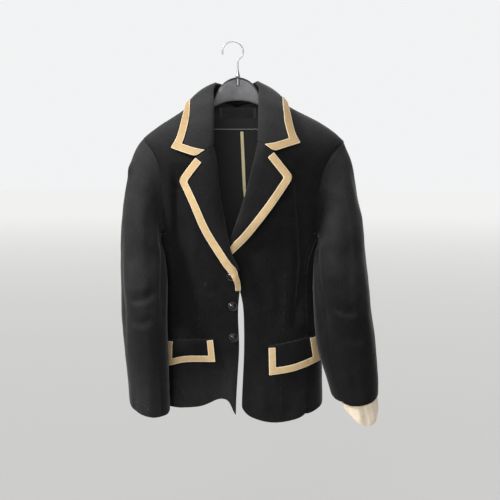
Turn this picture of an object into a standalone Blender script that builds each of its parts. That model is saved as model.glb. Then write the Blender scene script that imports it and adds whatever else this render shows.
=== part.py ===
"""A woman's padded-shoulder blazer, open at the front, hanging on a plastic hanger.

Millimetres in the tables, metres in the meshes. +Z is up, the front faces -Y, and the
origin is the inner crown of the hanger's hook. The tables count x from the hook's stem,
which stands a little to the right of the crown. "Left" and "right" are as seen from the
front, so left is -X. Each cut piece of cloth is a closed wall in its own object.
"""

import math

import bpy
import numpy as np
from mathutils import Vector
from mathutils.bvhtree import BVHTree

MM = 0.001
STEM_X = 10.0  # the stem's x in the finished part, counted from the hook's crown
WOOL = 2.2  # wall of the wool cloth
TRIM = 1.3  # wall of the felt ribbon
SEAM = 0.3  # gap between two pieces that are sewn together
LAY = 0.45  # gap between a piece and what lies on it
LAPEL_LAY = 0.7
COLLAR_LAY = 0.88
LEFT, RIGHT = -1, 1
FRONT, BACK = -1, 1

# Body: one row for each height, as a flattened tube with superellipse sides.
MIDDLE_X = 3.0
MIDDLE_Y = -5.0
BODY_POWER = 2.5
CHEST_POWER = 2.0  # how square the upper chest and the upper back turn into the shoulder
BLADE_POWER = 2.4
BUST_Z = -330.0
BODY = (
    # height, half width left, half width right, front depth, back depth
    (-760.0, 168.0, 168.0, 77.0, 75.0),
    (-650.0, 164.0, 167.0, 77.0, 71.0),
    (-560.0, 158.0, 162.0, 73.0, 64.0),
    (-480.0, 154.0, 157.0, 71.0, 60.0),
    (-390.0, 165.0, 165.0, 75.0, 64.0),
    (-330.0, 177.0, 176.0, 76.0, 66.0),
)
SHOULDER_WIDTH = {LEFT: 206.0, RIGHT: 218.0}
SHOULDER = {
    # distance out from the middle, height
    LEFT: (
        (0.0, -84.0), (60.0, -104.0), (105.0, -129.0), (135.0, -149.0), (163.0, -166.0),
        (196.0, -194.0), (212.0, -216.0),
    ),
    RIGHT: (
        (0.0, -80.0), (60.0, -102.0), (105.0, -130.0), (134.0, -144.0), (161.0, -158.0),
        (188.0, -176.0), (210.0, -197.0), (222.0, -214.0),
    ),
}

# The armhole: its front and back edges, and the lowest stretch under the arm.
ARMHOLE = {
    # height, front edge out from the middle, back edge out from the middle
    LEFT: (
        (-188.0, 193.0, 193.0), (-200.0, 182.0, 185.0), (-216.0, 168.0, 175.0),
        (-238.0, 158.0, 166.0), (-263.0, 153.0, 160.0), (-300.0, 149.0, 156.0),
        (-340.0, 148.0, 156.0), (-372.0, 149.0, 158.0),
    ),
    RIGHT: (
        (-196.0, 209.0, 209.0), (-208.0, 194.0, 197.0), (-226.0, 177.0, 184.0),
        (-247.0, 166.0, 174.0), (-272.0, 158.0, 166.0), (-308.0, 152.0, 160.0),
        (-342.0, 149.0, 158.0), (-374.0, 150.0, 159.0),
    ),
}
ARMHOLE_END_Z = -373.0
ARMHOLE_LOW_Z = -393.0
ARMHOLE_POINTS = 11

# Side panels: where their front and back seams run, as shares of the half width.
SIDE_SEAM = (
    # height, share of the half width at the front seam, at the back seam
    (-760.0, 0.765, 0.780),
    (-580.0, 0.810, 0.800),
    (-480.0, 0.820, 0.820),
    (-420.0, 0.800, 0.850),
    (-372.0, 0.850, 0.905),
)

# Front edges, roll lines and the neckline under the collar.
FRONT_SHARES = (0.0, 0.022, 0.05, 0.085, 0.13, 0.20, 0.29, 0.40, 0.53, 0.66, 0.78, 0.89, 1.0)
BACK_COLUMNS = 8
SIDE_COLUMNS = 8
SIDE_WIDTH = 90.0  # roughly, round the body
FRONT_EDGE = {
    # height, x of the edge
    LEFT: (
        (-760.0, -4.0), (-707.0, -3.0), (-657.0, -1.0), (-598.0, 4.0), (-570.0, 3.5),
        (-540.0, 0.5), (-510.0, 0.5), (-497.0, 1.5), (-482.0, 5.5), (-463.0, 6.5),
        (-437.0, -2.0), (-414.0, -14.0), (-390.0, -21.0), (-347.0, -30.0), (-289.0, -40.0),
        (-232.0, -45.0), (-205.0, -51.0), (-178.0, -57.0), (-150.0, -63.0), (-120.0, -69.0),
        (-100.0, -70.0),
    ),
    RIGHT: (
        (-760.0, 7.5), (-707.0, 8.0), (-657.0, 10.0), (-618.0, 12.0), (-580.0, 13.0),
        (-540.0, 12.0), (-501.0, 11.0), (-480.0, 4.0), (-440.0, -12.0), (-405.0, -17.0),
        (-375.0, -7.0), (-338.0, 7.0), (-289.0, 22.0), (-232.0, 36.0), (-196.0, 45.0),
        (-170.0, 51.0), (-140.0, 58.0), (-115.0, 64.0), (-100.0, 66.0),
    ),
}
HEM = {
    # x, height of the front hem
    LEFT: (
        (-240.0, -706.0), (-150.0, -708.0), (-125.0, -717.0), (-104.0, -715.0),
        (-73.0, -711.5), (-58.0, -706.0), (-46.0, -699.0), (-34.0, -694.5), (-23.0, -695.5),
        (-15.0, -704.0), (-9.0, -719.0), (-4.0, -727.0), (3.0, -729.0),
    ),
    RIGHT: (
        (6.0, -708.0), (10.0, -716.0), (16.0, -724.0), (24.0, -730.5), (36.0, -735.5),
        (53.0, -741.0), (73.0, -743.5), (92.0, -742.5), (112.0, -739.0), (132.0, -733.0),
        (146.0, -725.0), (158.0, -715.0), (170.0, -704.0), (240.0, -697.0),
    ),
}
BACK_HEM_Z = -692.0
HEM_Z = -704.0  # the hem's usual height, from which the hem's own line departs
HEM_FADE = 110.0
CENTRE_BACK = (
    (-760.0, 6.0), (-470.0, 6.0), (-318.0, 13.0), (-232.0, 10.0), (-177.0, 7.0), (-120.0, 1.0),
)
VENT_HALF = 11.5  # the centre-back vent stands open by twice this
VENT_TOP_Z = -475.0
CROSSING = (-510.0, -365.0)  # heights where the left front lies over the right one
CROSSING_STEP = {LEFT: -3.8, RIGHT: 9.0}
CROSSING_REACH = 60.0

# Back neck and what lies inside it.
NECK_X = -3.0
BACK_NECK = ((0.0, -118.5), (20.0, -117.5), (40.0, -114.0), (60.0, -108.5), (70.0, -106.0))
FACING_LOW_Z = -171.0
LABEL_SIZE = (73.0, 20.0, 0.6)
LABEL_CENTRE = (-0.5, -137.0)
FACING_X = (-52.0, 46.0)
FACING_TOP_Z = -126.0
FACING_LAY = 0.9  # gap between the back and what lies inside it
FACING_WALL = 1.2
PIPING_WIDTH = 2.6
PIPING_WALL = 1.1
BINDING = (
    (7.5, -174.0, 1.0), (10.0, -232.0, 1.0), (12.5, -290.0, 1.0), (14.0, -312.0, 0.5),
    (14.4, -319.0, 0.12),
)
BINDING_WIDTH = 6.5
BINDING_WALL = 0.6

# Lapels: outer edge, tip and the slanting seam to the collar.
LAPEL = {
    LEFT: {
        "gorge": (-51.0, -207.0),
        "notch": (-81.0, -227.0),
        "tip": (-116.0, -271.0),
        "edge": (
            # height, x
            (-271.0, -116.0), (-320.0, -91.0), (-369.0, -69.0), (-422.0, -36.0), (-443.0, -22.0),
            (-458.0, -7.5),
        ),
        "low": -454.0,
    },
    RIGHT: {
        "gorge": (43.0, -197.0),
        "notch": (70.0, -217.0),
        "tip": (108.0, -264.0),
        "edge": ((-264.0, 108.0), (-320.0, 70.0), (-353.0, 45.0), (-386.0, 18.0), (-420.0, -17.0)),
        "low": -416.0,
    },
}
LAPEL_LIFT = {
    # share across from the roll line to the edge: clearance over the front
    LEFT: ((0.0, 5.0), (0.15, 9.0), (0.5, 10.5), (0.85, 9.5), (1.0, 8.8)),
    RIGHT: ((0.0, 5.0), (0.15, 9.0), (0.5, 12.0), (0.85, 13.0), (1.0, 12.5)),
}
LAPEL_ROWS = 13
LAPEL_SHARES = (0.12, 0.3, 0.5, 0.7, 0.86, 1.0)  # places across the turned part
LAPEL_WALL = 1.8
TIP_ROW = 2  # the lapel's row that ends at its tip
LAPEL_SETTLES = {LEFT: (30.0, 0.92), RIGHT: (60.0, 0.08)}  # over this height, down to this share
TRIM_WIDTH = 15.5
EDGE_INSET = 0.8  # the bands stop this far inside a piece's edge
TONGUE_X = (-4.5, 6.0)  # the left band's lower end on the front's edge
TONGUE_Z = -484.0
TONGUE_LEVEL = 0.3  # it stays at the lapel's height over this share of its way down

# The collar: neckline, fold line and outer edge, out from the neck's centre line.
COLLAR = (
    # neckline x, y, z, fold x, y, z, edge x, y, z
    (56.0, -40.0, -184.0, 46.5, -50.0, -184.0, 114.5, -51.0, -188.0),
    (61.0, -30.0, -156.0, 47.0, -42.0, -156.0, 108.0, -45.0, -160.0),
    (65.5, -17.0, -130.0, 47.5, -32.0, -120.0, 103.5, -31.0, -138.0),
    (63.0, -4.0, -106.5, 45.0, -14.0, -90.0, 100.5, -10.0, -124.5),
    (59.5, 6.5, -106.5, 40.0, 3.0, -78.0, 98.5, 12.0, -123.5),
    (50.0, 16.5, -110.5, 32.0, 16.0, -79.0, 84.0, 30.0, -130.0),
    (32.0, 25.0, -116.5, 20.0, 23.0, -82.0, 58.0, 45.0, -139.0),
    (0.0, 30.5, -121.5, 0.0, 27.0, -84.0, 0.0, 51.5, -144.0),
)
COLLAR_STATIONS = (-1.0, -0.55, -0.1) + tuple(0.5 * k for k in range(1, 15))  # below 0: the free end
COLLAR_SHARES = (0.16, 0.34, 0.5, 0.68, 0.84, 1.0)  # places across the fall
COLLAR_WALL = 1.8
COLLAR_LIFT = (11.0, 8.0)  # clearance over the chest, at the fold and at the edge
COLLAR_BOW = 7.5  # how far the fall bulges over the shoulder
GORGE_GAP = 1.6
CHEST_TOP_Z = -142.0
COLLAR_TIP = {LEFT: (-130.0, -209.0), RIGHT: (122.0, -199.0)}
COLLAR_RISE = {LEFT: 0.0, RIGHT: 7.0}

# Flaps: top edge and bottom edge, inner end first.
FLAP = {
    LEFT: {
        "top": ((-47.0, -577.0), (-139.5, -583.5)),
        "low": ((-42.0, -622.5), (-92.0, -623.5), (-138.0, -636.5)),
    },
    RIGHT: {
        "top": ((59.0, -592.0), (153.0, -575.0)),
        "low": ((60.0, -649.0), (104.0, -643.5), (160.0, -626.0)),
    },
}
FLAP_TRIM_WIDTH = {LEFT: 12.5, RIGHT: 14.0}
FLAP_LIFT = (1.0, 3.4)  # clearance at the top and at the lower edge

# Sleeves: one row for each height down the arm.
SLEEVE = {
    # height, centre x, centre y, half width, half depth
    LEFT: (
        (-412.0, -184.0, -38.0, 47.0, 62.0), (-460.0, -182.0, -58.0, 46.0, 58.0),
        (-520.0, -179.5, -76.0, 44.0, 52.0), (-590.0, -177.0, -86.0, 43.0, 48.5),
        (-650.0, -171.5, -90.0, 40.0, 46.5), (-710.0, -169.5, -90.0, 39.2, 45.0),
    ),
    RIGHT: (
        (-412.0, 198.0, -38.0, 52.0, 62.0), (-460.0, 200.0, -56.0, 55.0, 58.0),
        (-520.0, 204.0, -70.0, 57.0, 52.0), (-590.0, 210.8, -76.0, 58.4, 47.0),
        (-650.0, 222.0, -76.0, 51.5, 44.0), (-695.0, 229.5, -74.0, 45.5, 42.0),
    ),
}
CUFF_RIM = {
    # height, droop in front, slope out
    LEFT: (-705.0, -14.0, 9.0),
    RIGHT: (-682.0, -21.0, 2.0),
}
SLEEVE_COLUMNS = 28
UNDER_COLUMNS = 10  # columns of the under sleeve, on the body's side
CAP_ROWS = 6
CAP_SWELL = 0.35  # how much the cap leaves the armhole along the body's outward normal
CAP_START = (0.65, 0.40)  # pull of the cap's curve at the armhole's side and at its top
CAP_FINISH = 0.9  # pull of the same curve where the arm begins
ARM_ROWS = 7
ARMHOLE_GAP = 0.5
BODY_CLEARANCE = 4.0

# Lining that droops out of the right cuff.
LINING_WIDTH = (0.925, 0.79)  # share of the cuff's width, at its top and at its rim
LINING_DROOP = (22.0, 22.0, 0.9)  # least droop, more of it, and the angle where it is longest
LINING_SWING = 10.0  # its rim lies this far out from the cuff's middle
LINING_INSIDE = 9.5  # it starts this far up inside the cuff
LINING_WALL = 1.0
LINING_COLUMNS = 24

# Buttons, hanger and hook.
BUTTONS = ((-12.0, -455.0), (-9.0, -514.5), (-8.0, -575.0))
BUTTON_GAP = 0.6
BUTTON_SIDES = 16
BUTTON_PROFILE = (
    (0.0, 0.0), (4.0, 0.0), (4.0, 1.4), (8.8, 1.9), (9.6, 3.4), (8.8, 5.4), (6.4, 7.1),
    (3.4, 7.8), (0.0, 8.0),
)
HANGER_THICK = 9.0
HANGER_BEVEL = 3.0
HANGER_LAY = 0.7  # gap between its arms and the cloth that they carry
HANGER_NECK_X = 75.0
HANGER_TOP = (
    (0.0, -69.0), (11.0, -70.5), (22.0, -76.0), (33.0, -87.0), (41.0, -100.0), (47.0, -114.0),
)
HANGER_LOW = ((0.0, -114.5), (22.0, -117.0), (47.0, -127.0))
HANGER_DEPTH = ((62.0, 17.0), (80.0, 20.0), (160.0, 20.0), (172.0, 15.0), (182.0, 7.0))  # out, depth
ARM_STATIONS = (62.0, 80.0, 100.0, 120.0, 140.0, 160.0, 172.0, 182.0)
HANGER_STATIONS = tuple(row[0] for row in HANGER_TOP) + ARM_STATIONS
WIRE_RADIUS = 1.6
WIRE_SIDES = 10
HOOK_RADIUS = 19.0
HOOK_STEM = ((-0.5, -35.0), (0.0, -40.0), (0.0, -54.0), (0.0, -68.7))


def steady(table, at, column=1):
    """A smooth curve through a table's rows that never overshoots them."""
    xs = [row[0] for row in table]
    ys = [row[column] for row in table]
    if xs[0] > xs[-1]:
        xs, ys = xs[::-1], ys[::-1]
    if at <= xs[0]:
        return ys[0]
    if at >= xs[-1]:
        return ys[-1]
    rise = [(ys[i + 1] - ys[i]) / (xs[i + 1] - xs[i]) for i in range(len(xs) - 1)]
    slope = [rise[0]]
    for before, after in zip(rise, rise[1:]):
        slope.append(2 * before * after / (before + after) if before * after > 0 else 0.0)
    slope.append(rise[-1])
    i = next(k for k in range(len(rise)) if at <= xs[k + 1])
    step = xs[i + 1] - xs[i]
    t = (at - xs[i]) / step
    return (
        ys[i] * (1 + 2 * t) * (1 - t) ** 2
        + ys[i + 1] * t * t * (3 - 2 * t)
        + step * slope[i] * t * (1 - t) ** 2
        + step * slope[i + 1] * t * t * (t - 1)
    )


def blend(a, b, t):
    """The value a share t of the way from a to b."""
    return a + (b - a) * t


def spread(count):
    """Even shares from 0 to 1."""
    return [i / (count - 1) for i in range(count)]


def side_of(x):
    return LEFT if x < MIDDLE_X else RIGHT


def half_width(side, z):
    return steady(BODY, z, 1 if side == LEFT else 2)


def shoulder_z(x):
    side = side_of(x)
    return steady(SHOULDER[side], abs(x - MIDDLE_X))


def body_y(face, x, z):
    """The y of the body's outer surface at a place seen from the front."""
    side = side_of(x)
    low = min(z, BUST_Z)
    width = half_width(side, low)
    rise = max(0.0, min(1.0, (z - BUST_Z) / (shoulder_z(x) - BUST_Z)))
    width = blend(width, SHOULDER_WIDTH[side] + 6.0, rise ** 1.5)
    depth = steady(BODY, low, 3 if face == FRONT else 4)
    share = min(1.0, abs(x - MIDDLE_X) / width)
    bow = max(0.0, 1.0 - share**BODY_POWER) ** (1 / BODY_POWER)
    power = CHEST_POWER if face == FRONT else BLADE_POWER
    y = MIDDLE_Y + face * depth * bow * max(0.0, 1.0 - rise**power) ** (1 / power)
    return y


def front_y(side, x, z):
    """The y of one front's outer surface: the left front lies over the right one."""
    y = body_y(FRONT, x, z)
    if CROSSING[0] < z < CROSSING[1] and abs(x) < CROSSING_REACH:
        across = (z - CROSSING[0]) / (CROSSING[1] - CROSSING[0])
        near = 1.0 - abs(x) / CROSSING_REACH
        y += CROSSING_STEP[side] * math.sin(math.pi * across) ** 0.7 * near * near * (3 - 2 * near)
    return y


def surface_y(face, side, x, z):
    return front_y(side, x, z) if face == FRONT else body_y(BACK, x, z)


def row_z(face, x, level):
    """Height of a row's point: level 0 is the hem, 1 the bust line and 2 the shoulder."""
    if level <= 1.0:
        nominal = blend(HEM_Z, BUST_Z, level)
        fade = max(0.0, 1.0 - (nominal - HEM_Z) / HEM_FADE)
        return nominal + (hem_z(face, x) - HEM_Z) * fade * fade * (3 - 2 * fade)
    turn = (level - 1.0) * math.pi / 2
    return BUST_Z + (shoulder_z(x) - BUST_Z) * math.sin(turn)


def body_point(face, side, x, level):
    z = row_z(face, x, level)
    return np.array((x, surface_y(face, side, x, z), z))


def hem_z(face, x):
    if face == BACK:
        return BACK_HEM_Z
    return steady(HEM[side_of(x)], x)


def smooth_normals(points, closed=False):
    """One unit normal for each grid point, from the differences along rows and columns."""
    if closed:
        across = np.roll(points, -1, 1) - np.roll(points, 1, 1)
    else:
        across = np.gradient(points, axis=1)
    down = np.gradient(points, axis=0)
    normal = np.cross(across, down)
    size = np.linalg.norm(normal, axis=2, keepdims=True)
    return normal / np.maximum(size, 1e-9)


def grid_faces(rows, columns, closed, start, flip):
    faces = []
    for r in range(rows - 1):
        for c in range(columns if closed else columns - 1):
            d = (c + 1) % columns
            here, below = start + r * columns, start + (r + 1) * columns
            quad = (here + c, here + d, below + d, below + c)
            faces.append(quad[::-1] if flip else quad)
    return faces


def make_wall(name, outer, inner, material, closed=False):
    """A closed wall between two grids of points that face each other."""
    rows, columns = outer.shape[:2]
    count = rows * columns
    points = np.concatenate([outer.reshape(-1, 3), inner.reshape(-1, 3)]) * MM
    faces = grid_faces(rows, columns, closed, 0, False)
    faces += grid_faces(rows, columns, closed, count, True)
    rim = []
    last = (rows - 1) * columns
    for c in range(columns if closed else columns - 1):
        d = (c + 1) % columns
        rim.append((d, c))
        rim.append((last + c, last + d))
    if not closed:
        for r in range(rows - 1):
            rim.append((r * columns, (r + 1) * columns))
            rim.append(((r + 1) * columns + columns - 1, r * columns + columns - 1))
    for a, b in rim:
        faces.append((a, b, b + count, a + count))
    return add_object(name, points, faces, material)


def add_object(name, points, faces, material):
    """A closed mesh from points in metres, moved so that the origin is the hook's crown."""
    mesh = bpy.data.meshes.new(name)
    shift = np.array((STEM_X * MM, 0.0, 0.0))
    mesh.from_pydata([tuple(p + shift) for p in points], [], faces)
    mesh.validate()
    volume = signed_volume(mesh)
    if volume < 0:
        mesh.flip_normals()
    mesh.materials.append(material)
    mesh.shade_smooth()
    mesh.set_sharp_from_angle(angle=math.radians(50.0))
    made = bpy.data.objects.new(name, mesh)
    bpy.context.scene.collection.objects.link(made)
    return made


def signed_volume(mesh):
    mesh.calc_loop_triangles()
    total = 0.0
    for triangle in mesh.loop_triangles:
        a, b, c = (mesh.vertices[i].co for i in triangle.vertices)
        total += a.dot(b.cross(c))
    return total / 6


def make_material(name, colour, roughness, metallic=0.0):
    material = bpy.data.materials.new(name)
    material.use_nodes = True
    shader = material.node_tree.nodes["Principled BSDF"]
    shader.inputs["Base Color"].default_value = (*colour, 1.0)
    shader.inputs["Roughness"].default_value = roughness
    shader.inputs["Metallic"].default_value = metallic
    return material


def panel(name, place, rows, columns, material, outward, thick=WOOL):
    """A wall on the surface place(u, v), whose outside faces the way of outward."""
    step = 0.004
    outer = np.zeros((rows, columns, 3))
    inner = np.zeros((rows, columns, 3))
    for r, v in enumerate(spread(rows)):
        for c, u in enumerate(spread(columns)):
            here = place(u, v)
            along = place(u + step, v) - place(u - step, v)
            down = place(u, v + step) - place(u, v - step)
            normal = np.cross(along, down)
            normal /= max(np.linalg.norm(normal), 1e-9)
            if np.dot(normal, outward(here)) < 0:
                normal = -normal
            outer[r, c] = here
            inner[r, c] = here - normal * thick
    return make_wall(name, outer, inner, material)


def outward_from_body(point):
    """Roughly away from the middle of the body, and up at the shoulders."""
    lift = max(0.0, (point[2] - BUST_Z) / 140.0)
    return np.array(((point[0] - MIDDLE_X) * 0.4, point[1] - MIDDLE_Y, lift * 30.0))


def armhole_x(side, face, z):
    return MIDDLE_X + side * steady(ARMHOLE[side], z, 1 if face == FRONT else 2)


def seam_x(side, face, z):
    share = steady(SIDE_SEAM, z, 1 if face == FRONT else 2)
    return MIDDLE_X + side * share * half_width(side, z)


def outer_edge_x(side, face, z):
    """The side seam below the armhole, and the armhole's edge above it."""
    if z >= ARMHOLE_END_Z:
        return armhole_x(side, face, z)
    step = armhole_x(side, face, ARMHOLE_END_Z) - seam_x(side, face, ARMHOLE_END_Z)
    return seam_x(side, face, z) + step * max(0.0, 1.0 - (ARMHOLE_END_Z - z) / 45.0)


def inner_edge_x(side, face, z):
    if face == FRONT:
        return steady(FRONT_EDGE[side], z)
    open_half = VENT_HALF if z <= VENT_TOP_Z else SEAM / 2
    return steady(CENTRE_BACK, z) + side * open_half


def edge_on_level(find, face, level, start):
    """The x where a level's row meets an edge that is given by height."""
    x = start
    for _ in range(EDGE_TRIES):
        x = blend(x, find(row_z(face, x, level)), 0.5)
    return x


def level_of(z):
    return (z - HEM_Z) / (BUST_Z - HEM_Z)


LOW_HEIGHTS = (HEM_Z, -692.0, -668.0, -630.0, -590.0, -550.0, -512.0, -475.0, -450.0, -410.0)
LOW_LEVELS = tuple(level_of(z) for z in LOW_HEIGHTS)
EDGE_TRIES = 40
HIGH_LEVELS = (
    level_of(ARMHOLE_END_Z), 1.0, 1.15, 1.28, 1.41, 1.53, 1.64, 1.73, 1.81, 1.89, 1.95, 1.998,
)


def body_panel(name, side, face, shares, material):
    """A front or a back, from its inner edge to the side seam and the armhole."""
    outer, inner = [], []
    for level in LOW_LEVELS + HIGH_LEVELS:
        near = edge_on_level(lambda z: inner_edge_x(side, face, z), face, level, side * 40.0)
        far = edge_on_level(lambda z: outer_edge_x(side, face, z), face, level, side * 150.0)
        if face == BACK:
            near = neck_edge_x(side, level, near)
        far -= side * SEAM
        row = [body_point(face, side, blend(near, far, share), level) for share in shares]
        ways = [body_normal(face, side, blend(near, far, share), level) for share in shares]
        outer.append(row)
        inner.append([here - way * WOOL for here, way in zip(row, ways)])
    return make_wall(name, np.array(outer), np.array(inner), material)


def neck_edge_x(side, level, near):
    """The back's inner edge, which the neckline cuts back on the rows above it."""
    for step in range(int(BACK_NECK[-1][0]) + 1):
        x = NECK_X + side * step
        if row_z(BACK, x, level) <= steady(BACK_NECK, step):
            return max(x, near, key=lambda value: value * side) if step else near
    return NECK_X + side * BACK_NECK[-1][0]


def body_normal(face, side, x, level):
    """The outward normal, which is straight up along the shoulder seam."""
    if level > 1.99:
        slope = (shoulder_z(x + 1.0) - shoulder_z(x - 1.0)) / 2.0
        normal = np.array((-slope, face * 0.06, 1.0))
        return normal / np.linalg.norm(normal)
    across = body_point(face, side, x + 0.5, level) - body_point(face, side, x - 0.5, level)
    up = body_point(face, side, x, level + 0.004) - body_point(face, side, x, level - 0.004)
    normal = np.cross(across, up)
    normal /= np.linalg.norm(normal)
    return normal if normal[1] * face > 0 else -normal


def body_normal_at(face, x, z):
    """The body's outward normal at a place seen from the front."""
    dx = (body_y(face, x + 0.5, z) - body_y(face, x - 0.5, z)) / 1.0
    dz = (body_y(face, x, z + 0.5) - body_y(face, x, z - 0.5)) / 1.0
    normal = np.array((-dx, 1.0, -dz)) * face
    return normal / np.linalg.norm(normal)


def ring_point(side, turn, z):
    """A point of the side panel: turn is 0 at its front seam and 1 at its back seam."""
    width = half_width(side, z)
    front = (outer_edge_x(side, FRONT, z) - MIDDLE_X) / (side * width)
    back = (outer_edge_x(side, BACK, z) - MIDDLE_X) / (side * width)
    start = superellipse_angle(front)
    end = math.pi - superellipse_angle(back)
    angle = blend(start, end, turn)
    across = math.sin(angle) ** (2 / BODY_POWER) if 0 < angle < math.pi else 0.0
    face = FRONT if angle < math.pi / 2 else BACK
    depth = steady(BODY, z, 3 if face == FRONT else 4)
    deep = abs(math.cos(angle)) ** (2 / BODY_POWER)
    return np.array((MIDDLE_X + side * width * across, MIDDLE_Y + face * depth * deep, z))


def superellipse_angle(share):
    return math.asin(min(1.0, share ** (BODY_POWER / 2)))


def side_top(turn):
    """The lowest stretch of the armhole, from its front end to its back end."""
    return ARMHOLE_LOW_Z + (ARMHOLE_END_Z - ARMHOLE_LOW_Z) * abs(2 * turn - 1) ** 2.4


def side_row_z(side, turn, level):
    """A side panel's row: the front's at one seam, the back's at the other."""
    ends = [row_z(face, outer_edge_x(side, face, HEM_Z), level) for face in (FRONT, BACK)]
    return blend(ends[0], ends[1], min(1.0, max(0.0, turn)))


def side_panel(name, side, material):
    """The panel under the arm, between the front and the back."""
    outer, inner = [], []
    gap = SEAM / SIDE_WIDTH
    for level in LOW_LEVELS + (None,):
        row_out, row_in = [], []
        for share in spread(SIDE_COLUMNS):
            turn = blend(gap, 1.0 - gap, share)
            z = side_top(turn) if level is None else side_row_z(side, turn, level)
            here = ring_point(side, turn, z)
            along = ring_point(side, turn + 0.01, z) - ring_point(side, turn - 0.01, z)
            up = ring_point(side, turn, z + 1.0) - ring_point(side, turn, z - 1.0)
            normal = np.cross(along, up)
            normal /= np.linalg.norm(normal)
            normal = normal if normal[0] * side > 0 else -normal
            row_out.append(here)
            row_in.append(here - normal * WOOL)
        outer.append(row_out)
        inner.append(row_in)
    return make_wall(name, np.array(outer), np.array(inner), material)


def armhole_ring(side):
    """Points and outward directions round the armhole, from the top down the front."""
    points, normals = [], []
    top_z = ARMHOLE[side][0][0]
    end_z = ARMHOLE_END_Z
    for face in (FRONT, BACK):
        run_points, run_normals = [], []
        for t in spread(ARMHOLE_POINTS):
            z = blend(top_z, end_z, t**1.35)
            x = armhole_x(side, face, z)
            run_points.append(np.array((x, body_y(face, x, z), z)))
            run_normals.append(body_normal_at(face, x, z))
        if face == FRONT:
            points += run_points
            normals += run_normals
            for t in spread(ARMHOLE_POINTS - 1)[1:-1]:
                here = ring_point(side, t, side_top(t))
                along = ring_point(side, t + 0.02, here[2]) - ring_point(side, t - 0.02, here[2])
                normal = np.cross(along, np.array((0.0, 0.0, 1.0)))
                normal /= np.linalg.norm(normal)
                points.append(here)
                normals.append(normal if normal[0] * side > 0 else -normal)
        else:
            points += run_points[::-1][:-1]
            normals += run_normals[::-1][:-1]
    points[0][1] = MIDDLE_Y
    normals[0] = np.array((side * 0.5, 0.0, 0.87))
    return points, normals


def resample_ring(points, extras, count):
    """The ring again with evenly spaced points, and each point's direction with it."""
    loop = np.array(points + [points[0]])
    ways = np.array(extras + [extras[0]])
    length = np.concatenate([[0], np.cumsum(np.linalg.norm(np.diff(loop, axis=0), axis=1))])
    at = np.arange(count) * length[-1] / count
    out = np.stack([np.interp(at, length, loop[:, k]) for k in range(3)], 1)
    way = np.stack([np.interp(at, length, ways[:, k]) for k in range(3)], 1)
    return out, way / np.linalg.norm(way, axis=1, keepdims=True)


def clear_of_body(point, clearance):
    """Moves a point out to stand clear of the body's side."""
    x, y, z = point
    side = side_of(x)
    low = min(z, BUST_Z)
    width = half_width(side, low) + clearance
    depth = steady(BODY, low, 3 if y < MIDDLE_Y else 4) + clearance
    size = (abs(x - MIDDLE_X) / width) ** BODY_POWER + (abs(y - MIDDLE_Y) / depth) ** BODY_POWER
    if size >= 1.0:
        return point
    grow = size ** (-1 / BODY_POWER)
    return np.array((MIDDLE_X + (x - MIDDLE_X) * grow, MIDDLE_Y + (y - MIDDLE_Y) * grow, z))


def sleeve_ring(side, z):
    """One ring of the arm, starting at its outermost point and going round the front."""
    cx, cy, rx, ry = (steady(SLEEVE[side], z, k) for k in (1, 2, 3, 4))
    ring = []
    for k in range(SLEEVE_COLUMNS):
        angle = 2 * math.pi * k / SLEEVE_COLUMNS
        ring.append(np.array((cx + side * rx * math.cos(angle), cy - ry * math.sin(angle), z)))
    return ring


def sleeve_grid(side):
    """Rows of points from the armhole over the cap and down to the cuff."""
    points, normals = armhole_ring(side)
    hole, out = resample_ring(points, normals, SLEEVE_COLUMNS)
    centre = hole.mean(axis=0)
    arm_top = SLEEVE[side][0][0]
    first = sleeve_ring(side, arm_top)
    rows = []
    for t in spread(CAP_ROWS + 1)[:-1]:
        row = []
        for k in range(SLEEVE_COLUMNS):
            start, end = hole[k], first[k]
            span = np.linalg.norm(end - start)
            along = hole[(k + 1) % SLEEVE_COLUMNS] - hole[k - 1]
            away = np.cross(along, out[k])
            away /= np.linalg.norm(away)
            if np.dot(away, hole[k] - centre) < 0 or away[0] * side < 0:
                away = -away if away[0] * side < 0 else away
            upright = abs(out[k][2])
            away = away * 0.75 + out[k] * CAP_SWELL * (1.0 - upright)
            away[2] = max(away[2], -0.6)
            away /= np.linalg.norm(away)
            begin = away * span * blend(*CAP_START, upright)
            finish = np.array((0.0, 0.0, -1.0)) * span * CAP_FINISH
            here = (
                start * (1 + 2 * t) * (1 - t) ** 2
                + end * t * t * (3 - 2 * t)
                + begin * t * (1 - t) ** 2
                + finish * t * t * (t - 1)
            )
            if t == 0:
                here = here + away * ARMHOLE_GAP
            if t > 0 and here[2] < BUST_Z:
                here = clear_of_body(here, BODY_CLEARANCE * min(1.0, 3 * t))
            row.append(here)
        rows.append(row)
    rim, droop, slope = CUFF_RIM[side]
    for t in spread(ARM_ROWS + 1):
        row = []
        for k in range(SLEEVE_COLUMNS):
            angle = 2 * math.pi * k / SLEEVE_COLUMNS
            end_z = rim + droop * math.sin(angle) + slope * math.cos(angle)
            z = blend(arm_top, end_z, t)
            cx, cy, rx, ry = (steady(SLEEVE[side], z, c) for c in (1, 2, 3, 4))
            here = np.array((cx + side * rx * math.cos(angle), cy - ry * math.sin(angle), z))
            row.append(clear_of_body(here, BODY_CLEARANCE))
        rows.append(row)
    return np.array(rows)


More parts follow.
